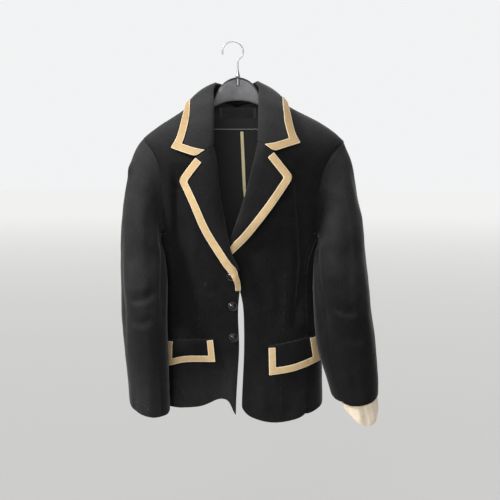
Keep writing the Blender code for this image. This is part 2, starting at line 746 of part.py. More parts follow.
def make_sleeve(word, side, material):
    outer = sleeve_grid(side)
    normal = smooth_normals(outer, closed=True)
    middle = outer.mean(axis=1, keepdims=True)
    if ((outer - middle) * normal)[-ARM_ROWS:].sum() < 0:
        normal = -normal
    inner = outer - normal * WOOL
    first = SLEEVE_COLUMNS // 2 - UNDER_COLUMNS // 2 + 1
    under = list(range(first, first + UNDER_COLUMNS + 1))
    top = list(range(first + UNDER_COLUMNS, SLEEVE_COLUMNS)) + list(range(0, first + 1))
    for name, columns in ((f"top_sleeve_{word}", top), (f"under_sleeve_{word}", under)):
        out, back = outer[:, columns].copy(), inner[:, columns].copy()
        for grid in (out, back):
            for edge, near in ((0, 1), (-1, -2)):
                way = grid[:, near] - grid[:, edge]
                size = np.linalg.norm(way, axis=1, keepdims=True)
                grid[:, edge] += way / size * (SEAM * 0.6)
        make_wall(name, out, back, material)


def lapel_share(side, x, z):
    """How far across the lapel a place is: 0 on the roll line and 1 on the outer edge."""
    roll = steady(FRONT_EDGE[side], z)
    edge = lapel_edge_x(side, z)
    return max(0.0, min(1.0, (x - roll) / (edge - roll)))


def lapel_edge_x(side, z):
    plan = LAPEL[side]
    if z <= plan["tip"][1]:
        return steady(plan["edge"], z)
    t = (z - plan["tip"][1]) / (plan["notch"][1] - plan["tip"][1])
    return blend(plan["tip"][0], plan["notch"][0], min(1.0, t))


def lapel_point(side, x, z):
    """A place on the turned lapel, which settles towards its lower end."""
    lift = steady(LAPEL_LIFT[side], lapel_share(side, x, z))
    height, share = LAPEL_SETTLES[side]
    lift *= blend(share, 1.0, min(1.0, max(0.0, z - LAPEL[side]["low"]) / height))
    return np.array((x, front_y(side, x, z) - lift - WOOL, z))


def lapel_rows(side):
    """Heights at the roll line and outer edge for each row of the lapel."""
    plan = LAPEL[side]
    rows = [(plan["gorge"], plan["notch"])]
    low = plan["low"]
    tip_z = plan["tip"][1]
    gorge_z = plan["gorge"][1]
    count = LAPEL_ROWS
    for k in range(1, count + 1):
        t = k / count
        roll_z = blend(gorge_z, low + 10.0, t**0.95)
        if k <= TIP_ROW:
            edge_z = blend(plan["notch"][1], tip_z, k / TIP_ROW)
        else:
            edge_z = blend(tip_z, low, (k - TIP_ROW) / (count - TIP_ROW))
        roll = (steady(FRONT_EDGE[side], roll_z), roll_z)
        rows.append((roll, (lapel_edge_x(side, edge_z), edge_z)))
    return rows


def make_lapel(word, side, material):
    """The turned lapel: a wall that rolls round the front's edge and lies over the chest."""
    outer = []
    for (roll_x, roll_z), (edge_x, edge_z) in lapel_rows(side):
        y = front_y(side, roll_x, roll_z)
        first = lapel_point(side, roll_x, roll_z)
        curl = min(1.0, max(0.62, abs(edge_x - roll_x) / 30.0))
        row = [
            np.array((roll_x - side * 4.0 * curl, y + 1.5, roll_z)),
            np.array((roll_x - side * 5.6 * curl, blend(y, first[1], 0.35), roll_z)),
            np.array((roll_x - side * 3.4 * curl, blend(y, first[1], 0.9), roll_z)),
        ]
        for share in LAPEL_SHARES:
            x, z = blend(roll_x, edge_x, share), blend(roll_z, edge_z, share)
            row.append(lapel_point(side, x, z))
        outer.append(row)
    outer = np.array(outer)
    normal = smooth_normals(outer)
    if normal[5, 6, 1] > 0:
        normal = -normal
    return make_wall(f"lapel_{word}", outer, outer - normal * LAPEL_WALL, material), outer


def surface_tree(made):
    """A piece's surface in the tables' own coordinates, for pieces that lie on it."""
    mesh = made.data
    shift = Vector((STEM_X * MM, 0.0, 0.0))
    points = [v.co - shift for v in mesh.vertices]
    return BVHTree.FromPolygons(points, [tuple(p.vertices) for p in mesh.polygons])


def drop_on(tree, x, z):
    """The first place that a line from the front meets the surface, and its normal."""
    hit, normal, _, _ = tree.ray_cast(Vector((x * MM, -0.4, z * MM)), Vector((0, 1, 0)))
    if hit is None:
        return None
    normal = np.array(normal)
    return np.array(hit) / MM, normal if normal[1] < 0 else -normal


def drop_row(tree, out, back, shares):
    """Places across a band. It narrows where the piece below is narrower than the band."""
    for narrow in (1.0, 0.93, 0.86, 0.79, 0.72, 0.65, 0.58, 0.5, 0.42, 0.34, 0.26, 0.18):
        row = [drop_on(tree, *blend(out, back, share * narrow)) for share in shares]
        if all(found is not None for found in row):
            return row
    raise ValueError(f"nothing in front of {out}")


def mitred_line(path, width, turn):
    """A line beside a line of points in x and z, mitred at its corners."""
    beside = []
    for i, point in enumerate(path):
        ways = []
        for a, b in ((i - 1, i), (i, i + 1)):
            if 0 <= a and b < len(path):
                way = np.array(path[b]) - np.array(path[a])
                ways.append(way / np.linalg.norm(way))
        sides = [np.array((-w[1], w[0])) * turn for w in ways]
        middle = sum(sides)
        middle = middle / np.linalg.norm(middle)
        beside.append(np.array(point) + middle * width / max(0.35, float(np.dot(middle, sides[0]))))
    return beside


def band_pairs(path, inset, width, turn, step):
    """Matching points along the outer and the inner line of a mitred band."""
    near = mitred_line(path, inset, turn)
    far = mitred_line(path, width, turn)
    pairs = []
    for k in range(len(path) - 1):
        span = np.linalg.norm(near[k + 1] - near[k])
        count = max(1, round(float(span) / step))
        for t in range(count):
            pairs.append((blend(near[k], near[k + 1], t / count), blend(far[k], far[k + 1], t / count)))
    pairs.append((near[-1], far[-1]))
    kept = pairs[:1]
    for here, back in pairs[1:]:
        # a pair beyond a sharp corner would fold the band over itself
        if np.dot(here - kept[-1][0], back - kept[-1][1]) > 0.0:
            kept.append((here, back))
    return kept


def make_trim(name, rows, material, lay=LAY):
    """A felt band from rows of (place, way it faces) on the piece that it lies on."""
    outer = [[place + way * (lay + TRIM) for place, way in row] for row in rows]
    inner = [[place + way * lay for place, way in row] for row in rows]
    return make_wall(name, np.array(outer), np.array(inner), material)


def make_lapel_trim(word, side, lapel, material):
    """The felt band along the lapel's free edge. The left one runs on down the front's edge."""
    made, grid = lapel
    tree = surface_tree(made)
    path = [point[[0, 2]] for point in grid[:, -1]]
    path[-1] = blend(path[-1], path[-2], 0.15)
    rows = []
    for out, back in band_pairs(path, EDGE_INSET, TRIM_WIDTH, -side, 12.0):
        rows.append(drop_row(tree, out, back, (0.0, 0.35, 0.7, 1.0)))
    if side == LEFT:
        rows += tongue_rows(rows[-1])
    return make_trim(f"lapel_trim_{word}", rows, material, LAPEL_LAY)


def tongue_rows(above):
    """The left band's end, which comes down from the lapel onto the front's edge."""
    rows = []
    heights = [place[1] - front_y(LEFT, place[0], place[2]) for place, _ in above]
    for t in spread(6)[1:]:
        row = []
        for k, (place, _) in enumerate(above):
            x = blend(place[0], blend(*TONGUE_X, k / (len(above) - 1)), min(1.0, 1.6 * t))
            z = blend(place[2], TONGUE_Z, t)
            late = max(0.0, (t - TONGUE_LEVEL) / (1.0 - TONGUE_LEVEL))
            off = heights[k] * (1.0 - late * late * (3 - 2 * late))
            row.append((np.array((x, front_y(LEFT, x, z) + off, z)), np.array((0.0, -1.0, 0.0))))
        rows.append(row)
    return rows


def collar_table_row(t):
    """A section of the collar between two rows of its table."""
    return [steady(tuple(enumerate(row[c] for row in COLLAR)), t) for c in range(len(COLLAR[0]))]


def collar_rows():
    """Neckline, fold, notch and edge for each section, from the left end to the right end."""
    rows = []
    for side in (LEFT, RIGHT):
        run = []
        plan = LAPEL[side]
        end = {
            "neck": np.array((plan["gorge"][0] + side * 2.0, 0.0, plan["gorge"][1] + GORGE_GAP)),
            "fold": np.array((plan["gorge"][0] - side * 0.5, 0.0, plan["gorge"][1] + GORGE_GAP)),
            "notch": np.array((plan["notch"][0], 0.0, plan["notch"][1] + GORGE_GAP)),
            "edge": np.array((COLLAR_TIP[side][0], 0.0, COLLAR_TIP[side][1])),
        }
        for k in COLLAR_STATIONS:
            row = collar_table_row(max(0.0, k))
            rise = COLLAR_RISE[side] * (1.0 if k < 3 else max(0.0, 1.0 - (k - 2) * 0.3))
            neck, fold, edge = (
                np.array((NECK_X + side * row[c], row[c + 1], row[c + 2] + rise)) for c in (0, 3, 6)
            )
            notch = blend(fold, edge, 0.5)
            if k < 0:
                t = 1.0 + k
                neck, fold = blend(end["neck"], neck, t), blend(end["fold"], fold, t)
                notch, edge = blend(end["notch"], notch, t), blend(end["edge"], edge, t)
            run.append((neck, fold, notch, edge, min(1.0, max(0.0, 3.0 - k)), side))
        rows += run if side == LEFT else run[:-1][::-1]
    return rows


def chest_section(fold, notch, edge, side):
    """A section of the collar where it lies over the chest."""
    y = front_y(side, fold[0], fold[2])
    points = [
        np.array((fold[0] - side * 1.6, y + 1.5, fold[2])),
        np.array((fold[0] - side * 3.6, y - 1.5, fold[2])),
        np.array((fold[0] - side * 4.6, y - 5.0, fold[2])),
        np.array((fold[0] - side * 2.4, y - 9.0, fold[2])),
    ]
    for share in COLLAR_SHARES:
        spot = blend(fold, notch, share / 0.5) if share <= 0.5 else blend(notch, edge, share / 0.5 - 1.0)
        lift = blend(*COLLAR_LIFT, share) + 2.0 * math.sin(math.pi * share)
        points.append(np.array((spot[0], front_y(side, spot[0], spot[2]) - lift, spot[2])))
    return points


def neck_section(neck, fold, edge):
    """A section of the collar that stands at the neck and falls over the shoulder."""
    out = np.array((edge[0] - fold[0], edge[1] - fold[1], 0.0))
    out /= np.linalg.norm(out)
    points = [
        neck - out * 1.0,
        blend(neck, fold, 0.45) - out * 1.6,
        fold - out * 1.4 - np.array((0.0, 0.0, 3.6)),
        fold + out * 1.6,
    ]
    across = edge - fold
    across /= np.linalg.norm(across)
    away = np.cross(across, np.cross(np.array((0.0, 0.0, 1.0)), across))
    away /= np.linalg.norm(away)
    for share in COLLAR_SHARES:
        points.append(blend(fold, edge, share) + away * COLLAR_BOW * math.sin(math.pi * share) ** 0.8)
    return points


def make_collar(material):
    """The collar in one folded wall, with its outer grid and normals for what lies on it."""
    outer = []
    for neck, fold, notch, edge, chest, side in collar_rows():
        over = neck_section(neck, fold, edge) if chest < 1.0 else None
        flat = chest_section(fold, notch, edge, side) if chest > 0.0 else None
        if over is None or flat is None:
            outer.append(flat or over)
        else:
            outer.append([blend(a, b, chest) for a, b in zip(over, flat)])
    outer = np.array(outer)
    normal = smooth_normals(outer)
    if normal[len(outer) // 2, 7, 2] < 0:
        normal = -normal
    return make_wall("collar", outer, outer - normal * COLLAR_WALL, material), outer, normal


def band_on_row(points, normals, distances):
    """Places along one section of the collar at given distances in from its edge."""
    points, normals = points[::-1], normals[::-1]
    length = np.concatenate([[0], np.cumsum(np.linalg.norm(np.diff(points, axis=0), axis=1))])
    found = []
    for distance in distances:
        here = np.array([np.interp(distance, length, points[:, k]) for k in range(3)])
        way = np.array([np.interp(distance, length, normals[:, k]) for k in range(3)])
        found.append((here, way / np.linalg.norm(way)))
    return found


def make_collar_trim(collar, outer, normal, material):
    """The felt band along both collar ends and the whole outer edge."""
    tree = surface_tree(collar)
    count = len(outer)
    chest_rows = {LEFT: [], RIGHT: []}
    for r in range(count):
        side = LEFT if r < count // 2 else RIGHT
        if outer[r, -1, 2] <= CHEST_TOP_Z and outer[r, -1, 1] < 0.0:
            chest_rows[side].append(r)
    rows = {}
    for side, order in chest_rows.items():
        order = order if side == LEFT else order[::-1]
        path = [outer[order[0], 6, [0, 2]]] + [outer[r, -1, [0, 2]] for r in order]
        pairs = band_pairs(path, EDGE_INSET, TRIM_WIDTH, side, 9.0)
        along = outer[order[0], 5, [0, 2]] - path[0]
        pairs[0] = (pairs[0][0], pairs[0][0] + along / np.linalg.norm(along) * TRIM_WIDTH * 1.45)
        rows[side] = [drop_row(tree, out, back, (0.0, 0.5, 1.0)) for out, back in pairs]
    middle = []
    for r in range(len(chest_rows[LEFT]), count - len(chest_rows[RIGHT])):
        middle.append(band_on_row(outer[r, 3:], normal[r, 3:], (EDGE_INSET, TRIM_WIDTH / 2, TRIM_WIDTH)))
    return make_trim("collar_trim", rows[LEFT] + middle + rows[RIGHT][::-1], material, COLLAR_LAY)


def flap_place(side, x, z):
    """A place on a flap's outside, and the way it faces. Its lower edge stands off a little."""
    plan = FLAP[side]
    share = (x - plan["top"][0][0]) / (plan["top"][-1][0] - plan["top"][0][0])
    top_z, low_z = line_at(plan["top"], share)[1], line_at(plan["low"], share)[1]
    down = min(1.0, max(0.0, (top_z - z) / (top_z - low_z)))
    lift = WOOL + blend(FLAP_LIFT[0], FLAP_LIFT[1], down**0.7)
    way = body_normal_at(FRONT, x, z)
    return np.array((x, body_y(FRONT, x, z), z)) + way * lift, way


def make_flap(word, side, material):
    """A pocket flap, sewn down along its top."""
    plan = FLAP[side]

    def place(u, v):
        return flap_place(side, *blend(line_at(plan["top"], u), line_at(plan["low"], u), v))[0]

    return panel(f"flap_{word}", place, 5, 10, material, outward_from_body)


def line_at(points, share):
    """A place along a line of points, by its share of the line's width."""
    x = blend(points[0][0], points[-1][0], share)
    return np.array((x, steady(points, x)))


def make_flap_trim(word, side, material):
    """The felt band along a flap's two ends and its lower edge."""
    plan = FLAP[side]
    top = [line_at(plan["top"], t) for t in (0.0, 1.0)]
    low = [line_at(plan["low"], t) for t in spread(7)]
    path = [blend(low[0], top[0], 0.94)] + low + [blend(low[-1], top[1], 0.94)]
    rows = []
    for out, back in band_pairs(path, EDGE_INSET, FLAP_TRIM_WIDTH[side], side, 9.0):
        rows.append([flap_place(side, *blend(out, back, t)) for t in (0.0, 0.5, 1.0)])
    return make_trim(f"flap_trim_{word}", rows, material)


def turned(name, profile, steps, place, material):
    """A solid turned round an axis that points to the front."""
    points, faces = [], []
    rings = [p for p in profile if p[0] > 0]
    for radius, height in rings:
        for k in range(steps):
            angle = 2 * math.pi * k / steps
            points.append(place + np.array((radius * math.cos(angle), -height, radius * math.sin(angle))))
    back = len(points)
    points.append(place - np.array((0.0, profile[0][1], 0.0)))
    points.append(place - np.array((0.0, profile[-1][1], 0.0)))
    for r in range(len(rings) - 1):
        for k in range(steps):
            d = (k + 1) % steps
            faces.append((r * steps + k, r * steps + d, (r + 1) * steps + d, (r + 1) * steps + k))
    last = (len(rings) - 1) * steps
    for k in range(steps):
        d = (k + 1) % steps
        faces.append((d, k, back))
        faces.append((last + k, last + d, back + 1))
    return add_object(name, np.array(points) * MM, faces, material)


def tube(name, path, radius, sides, material):
    """A round bar along a line of points in the plane of the hanger."""
    path = np.array(path, float)
    ways = np.gradient(path, axis=0)
    ways /= np.linalg.norm(ways, axis=1, keepdims=True)
    points, faces = [], []
    depth = np.array((0.0, 1.0, 0.0))
    for here, way in zip(path, ways):
        across = np.cross(way, depth)
        for k in range(sides):
            angle = 2 * math.pi * k / sides
            points.append(here + across * radius * math.cos(angle) + depth * radius * math.sin(angle))
    for r in range(len(path) - 1):
        for k in range(sides):
            d = (k + 1) % sides
            faces.append((r * sides + k, r * sides + d, (r + 1) * sides + d, (r + 1) * sides + k))
    faces.append(tuple(range(sides))[::-1])
    last = (len(path) - 1) * sides
    faces.append(tuple(last + k for k in range(sides)))
    return add_object(name, np.array(points) * MM, faces, material)


def make_hook(material):
    """The hook: a plain crook whose inner crown is the origin, and a straight stem."""
    radius = HOOK_RADIUS
    centre = np.array((-STEM_X, 0.0, -radius))
    path = []
    for degrees in range(195, -31, -15):
        angle = math.radians(degrees)
        path.append(centre + np.array((math.cos(angle), 0.0, math.sin(angle))) * (radius + WIRE_RADIUS))
    path += [np.array((x, 0.0, z)) for x, z in HOOK_STEM]
    return tube("hook", path, WIRE_RADIUS, WIRE_SIDES, material)


def hanger_span(side, x):
    """Top and bottom of the hanger at a distance out from its middle."""
    arch_end = HANGER_TOP[-1][0]
    if x <= arch_end:
        return steady(HANGER_TOP, x), steady(HANGER_LOW, x)
    slope = (shoulder_z(side * (x + 1.0)) - shoulder_z(side * (x - 1.0))) / 2.0
    top = shoulder_z(side * x) - (WOOL + HANGER_LAY) * math.sqrt(1 + slope * slope)
    if x < HANGER_NECK_X:
        top = min(top, HANGER_TOP[-1][1] - (x - arch_end) * 0.3)
    return top, top - steady(HANGER_DEPTH, x)


def make_hanger(material):
    """One moulded bar: an arch in the neck and an arm into each shoulder."""
    right_half = [(x, *hanger_span(RIGHT, x)) for x in HANGER_STATIONS]
    left_half = [(-x, *hanger_span(LEFT, x)) for x in HANGER_STATIONS[1:]]
    half, bevel = HANGER_THICK / 2, HANGER_BEVEL
    outer = []
    for x, top, low in left_half[::-1] + right_half:
        centre = MIDDLE_Y * min(1.0, abs(x) / 55.0)
        section = (
            (0.0, top), (half * 0.7, top - bevel * 0.4), (half, top - bevel * 1.4),
            (half, low + bevel), (half * 0.5, low), (-half * 0.5, low), (-half, low + bevel),
            (-half, top - bevel * 1.4), (-half * 0.7, top - bevel * 0.4),
        )
        outer.append([np.array((x, centre + y, z)) for y, z in section])
    outer = np.array(outer)
    rows, columns = outer.shape[:2]
    faces = grid_faces(rows, columns, True, 0, False)
    faces.append(tuple(range(columns))[::-1])
    faces.append(tuple((rows - 1) * columns + k for k in range(columns)))
    return add_object("hanger", outer.reshape(-1, 3) * MM, faces, material)


def inside_surface(trees, x, z):
    """The first place that a line from the hollow towards the back meets, and its normal."""
    found = []
    for tree in trees:
        for aside in (0.0, -1.0, 1.0):
            start = Vector(((x + aside) * MM, 0.0, z * MM))
            hit, normal, _, distance = tree.ray_cast(start, Vector((0, 1, 0)))
            if hit is not None:
                place = np.array(hit) / MM - np.array((aside, 0.0, 0.0))
                found.append((distance, place, np.array(normal)))
                break
    _, place, normal = min(found, key=lambda entry: entry[0])
    return place, normal if normal[1] < 0 else -normal


def lay_inside(name, grid, trees, lift, thick, material):
    """A thin piece on the inside of the back, from a grid of (x, z)."""
    outer, inner = [], []
    for row in grid:
        found = [inside_surface(trees, x, z) for x, z in row]
        outer.append([place + way * (lift + thick) for place, way in found])
        inner.append([place + way * lift for place, way in found])
    return make_wall(name, np.array(outer), np.array(inner), material)


def make_inside_neck(backs, wool, satin, grey, gold):
    """What shows inside the neck: facing, its bound edge, the label and the seam's binding."""
    trees = [surface_tree(back) for back in backs]
    columns = spread(13)

    def facing_grid(top_at, low_at, rows):
        grid = []
        for v in spread(rows):
            row = []
            for u in columns:
                x = blend(FACING_X[0], FACING_X[1], u)
                row.append((x, blend(top_at(x), low_at(x), v)))
            grid.append(row)
        return grid

    def facing_top(x):
        return min(steady(BACK_NECK, abs(x - NECK_X)) - 7.0, FACING_TOP_Z)

    cloth = facing_grid(facing_top, lambda x: FACING_LOW_Z, 5)
    facing = lay_inside("back_neck_facing", cloth, trees, FACING_LAY, FACING_WALL, wool)
    on_facing = [surface_tree(facing)]
    bound = facing_grid(lambda x: FACING_LOW_Z + PIPING_WIDTH, lambda x: FACING_LOW_Z + 0.4, 2)
    lay_inside("facing_piping", bound, on_facing, SEAM, PIPING_WALL, grey)
    wide, tall, thick = LABEL_SIZE
    left_x, middle_z = LABEL_CENTRE[0] - wide / 2, LABEL_CENTRE[1]
    label = [[(left_x + u * wide, middle_z + v * tall) for u in columns] for v in (0.5, -0.5)]
    lay_inside("neck_label", label, on_facing, SEAM, thick, satin)
    strip = []
    for x, z, share in BINDING:
        half = BINDING_WIDTH * share / 2
        strip.append([(x - half, z), (x, z), (x + half, z)])
    lay_inside("back_seam_binding", strip, trees, FACING_LAY, BINDING_WALL, gold)


def make_lining(material):
    """The pale lining that droops out of the right cuff."""
    rim, front_droop, _ = CUFF_RIM[RIGHT]
    least, more, longest = LINING_DROOP
    outer = []
    for t in spread(5):
        row = []
        for k in range(LINING_COLUMNS):
            angle = 2 * math.pi * k / LINING_COLUMNS
            droop = least + more * max(0.0, math.cos(angle - longest)) ** 1.3
            edge = rim + front_droop * math.sin(angle)
            z = blend(edge + LINING_INSIDE, edge - droop, t)
            cx, cy, rx, ry = (steady(SLEEVE[RIGHT], z, c) for c in (1, 2, 3, 4))
            size = blend(*LINING_WIDTH, t)
            x = cx + LINING_SWING * t + rx * size * math.cos(angle)
            row.append(np.array((x, cy - ry * size * math.sin(angle), z)))
        outer.append(row)
    outer = np.array(outer)
    normal = smooth_normals(outer, closed=True)
    if ((outer - outer.mean(axis=1, keepdims=True)) * normal).sum() < 0:
        normal = -normal
    return make_wall("sleeve_lining_right", outer, outer - normal * LINING_WALL, material, closed=True)


def clear_scene():
    for thing in list(bpy.data.objects):
        bpy.data.objects.remove(thing, do_unlink=True)


def build():
    clear_scene()
    wool = make_material("black_wool", (0.012, 0.012, 0.013), 0.95)
    felt = make_material("tan_felt", (0.62, 0.42, 0.20), 0.9)
    satin = make_material("black_satin", (0.01, 0.01, 0.01), 0.5)
    gold = make_material("pale_binding", (0.80, 0.68, 0.42), 0.8)
    grey = make_material("grey_piping", (0.10, 0.10, 0.10), 0.8)
    lining = make_material("beige_lining", (0.55, 0.46, 0.34), 0.6)
    plastic = make_material("grey_plastic", (0.12, 0.12, 0.125), 0.4)
    chrome = make_material("chrome_wire", (0.75, 0.75, 0.77), 0.15, 1.0)
    gloss = make_material("black_button", (0.015, 0.015, 0.016), 0.15)

    backs = []
    for word, side in (("left", LEFT), ("right", RIGHT)):
        body_panel(f"front_{word}", side, FRONT, FRONT_SHARES, wool)
        backs.append(body_panel(f"back_{word}", side, BACK, spread(BACK_COLUMNS), wool))
        side_panel(f"side_{word}", side, wool)
        make_sleeve(word, side, wool)
        lapel = make_lapel(word, side, wool)
        make_lapel_trim(word, side, lapel, felt)
        make_flap(word, side, wool)
        make_flap_trim(word, side, felt)
    make_collar_trim(*make_collar(wool), felt)
    for number, (x, z) in enumerate(BUTTONS, 1):
        place = np.array((x, front_y(LEFT, x, z) - BUTTON_GAP, z))
        turned(f"button_{number}", BUTTON_PROFILE, BUTTON_SIDES, place, gloss)
    make_inside_neck(backs, wool, satin, grey, gold)
    make_lining(lining)
    make_hanger(plastic)
    make_hook(chrome)


if __name__ == "__main__":
    build()
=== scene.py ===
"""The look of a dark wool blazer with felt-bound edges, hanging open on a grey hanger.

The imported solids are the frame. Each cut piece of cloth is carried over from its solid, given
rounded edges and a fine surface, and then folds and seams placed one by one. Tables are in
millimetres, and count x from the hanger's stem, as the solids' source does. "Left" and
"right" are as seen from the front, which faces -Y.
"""

import logging
import math
from collections.abc import Callable, Sequence
from dataclasses import dataclass, field
from enum import Enum

import bmesh
import bpy
import numpy as np
from mathutils import Matrix, Vector
from mathutils.bvhtree import BVHTree
from mathutils.kdtree import KDTree


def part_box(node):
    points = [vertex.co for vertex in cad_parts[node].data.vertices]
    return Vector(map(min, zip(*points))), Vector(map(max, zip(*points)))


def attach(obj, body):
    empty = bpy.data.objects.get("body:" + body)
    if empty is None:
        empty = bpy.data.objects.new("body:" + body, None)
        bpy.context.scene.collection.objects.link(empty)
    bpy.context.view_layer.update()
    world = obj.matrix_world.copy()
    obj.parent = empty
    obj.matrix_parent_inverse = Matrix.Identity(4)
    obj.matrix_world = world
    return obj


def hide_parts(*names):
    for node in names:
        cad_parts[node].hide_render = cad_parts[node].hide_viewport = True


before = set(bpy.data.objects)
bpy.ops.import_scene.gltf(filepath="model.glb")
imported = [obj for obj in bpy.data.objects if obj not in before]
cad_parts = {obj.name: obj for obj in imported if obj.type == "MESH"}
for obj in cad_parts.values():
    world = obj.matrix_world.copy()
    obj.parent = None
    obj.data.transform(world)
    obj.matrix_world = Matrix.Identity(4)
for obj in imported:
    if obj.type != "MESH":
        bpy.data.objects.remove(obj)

logging.basicConfig(level=logging.INFO, format="%(message)s")
log = logging.getLogger("blazer")

MM = 0.001
STEM_X = 10.0  # the stem's place, counted from the hook's crown, which is the origin
STEM = (STEM_X, 0.0, 0.0)
FAR = 40.0  # distances to rims and seams are counted up to this

Point = tuple[float, float]
Place = tuple[float, float, float]
Rgb = tuple[float, float, float]

WHOLE: Point = (0.0, 1.0)
FALLING: Point = (1.0, 0.0)
FINE = 3.0  # a noise's detail, where it has more than two layers


class Side(Enum):
    """The half of the blazer, as seen from the front."""

    LEFT = -1
    RIGHT = 1


class Face(Enum):
    """The front or the back of the blazer."""

    FRONT = -1
    BACK = 1


def shade(red: int, green: int, blue: int) -> Rgb:
    """Turns display values from 0 to 255 into linear ones.

    Args:
        red: The red value.
        green: The green value.
        blue: The blue value.

    Returns:
        The linear colour.
    """
    levels = (red / 255, green / 255, blue / 255)
    return tuple(v / 12.92 if v <= 0.04045 else ((v + 0.055) / 1.055) ** 2.4 for v in levels)


def to_world(place: np.ndarray) -> Vector:
    """A place in millimetres from the stem, as one in metres from the hook's crown."""
    return Vector((place + STEM) * MM)


def eased(share: np.ndarray) -> np.ndarray:
    """Shares from 0 to 1 with a soft start and end."""
    return share * share * (3 - 2 * share)


def unit(ways: np.ndarray) -> np.ndarray:
    """Directions of length 1."""
    return ways / np.maximum(np.linalg.norm(ways, axis=1, keepdims=True), 1e-9)


def search_tree(places: Sequence[Sequence[float]] | np.ndarray) -> KDTree:
    """A search tree of places.

    Args:
        places: The places.

    Returns:
        The tree, which finds a place's number and distance.
    """
    tree = KDTree(len(places))
    for i, place in enumerate(places):
        tree.insert(place, i)
    tree.balance()
    return tree


def turned(profile: Sequence[Point], steps: int, across: float = 0.0) -> bmesh.types.BMesh:
    """A form turned about an upright axis.

    Args:
        profile: Radius and height along its outline, in millimetres.
        steps: How many facets it has round.
        across: The axis's place along x, in millimetres.

    Returns:
        The mesh, which faces out.
    """
    work = bmesh.new()
    ring = [work.verts.new(((across + r) * MM, 0.0, z * MM)) for r, z in profile]
    edges = [work.edges.new(pair) for pair in zip(ring, ring[1:])]
    bmesh.ops.spin(
        work, geom=ring + edges, axis=(0, 0, 1), cent=(across * MM, 0, 0), angle=2 * math.pi,
        steps=steps, use_merge=True, use_duplicate=False,
    )
    bmesh.ops.remove_doubles(work, verts=work.verts, dist=1e-6)
    bmesh.ops.recalc_face_normals(work, faces=work.faces)
    return work


def link_object(name: str, data: bpy.types.ID) -> bpy.types.Object:
    """Makes an object of a mesh, curve, light or camera.

    Args:
        name: The object's name.
        data: What it shows.

    Returns:
        The object, in the scene.
    """
    made = bpy.data.objects.new(name, data)
    bpy.context.scene.collection.objects.link(made)
    return made


def smooth_object(work: bmesh.types.BMesh, name: str) -> bpy.types.Object:
    """Makes a smooth object of a finished mesh.

    Args:
        work: The mesh, which is freed.
        name: The object's name.

    Returns:
        The object.
    """
    mesh = bpy.data.meshes.new(name)
    work.to_mesh(mesh)
    work.free()
    mesh.shade_smooth()
    return link_object(name, mesh)


def settle(made: bpy.types.Object, material: bpy.types.Material, slot: str, *replaced: str) -> None:
    """Gives a finished piece its material and its place in the frame, and reports it.

    Args:
        made: The piece.
        material: Its finish.
        slot: The record's material slot. Not used.
        replaced: The solids that it stands for.
    """
    made.data.materials.append(material)
    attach(made, "root")
    if replaced:
        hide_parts(*replaced)
    log.info("%s: %d faces", made.name, len(made.data.polygons))


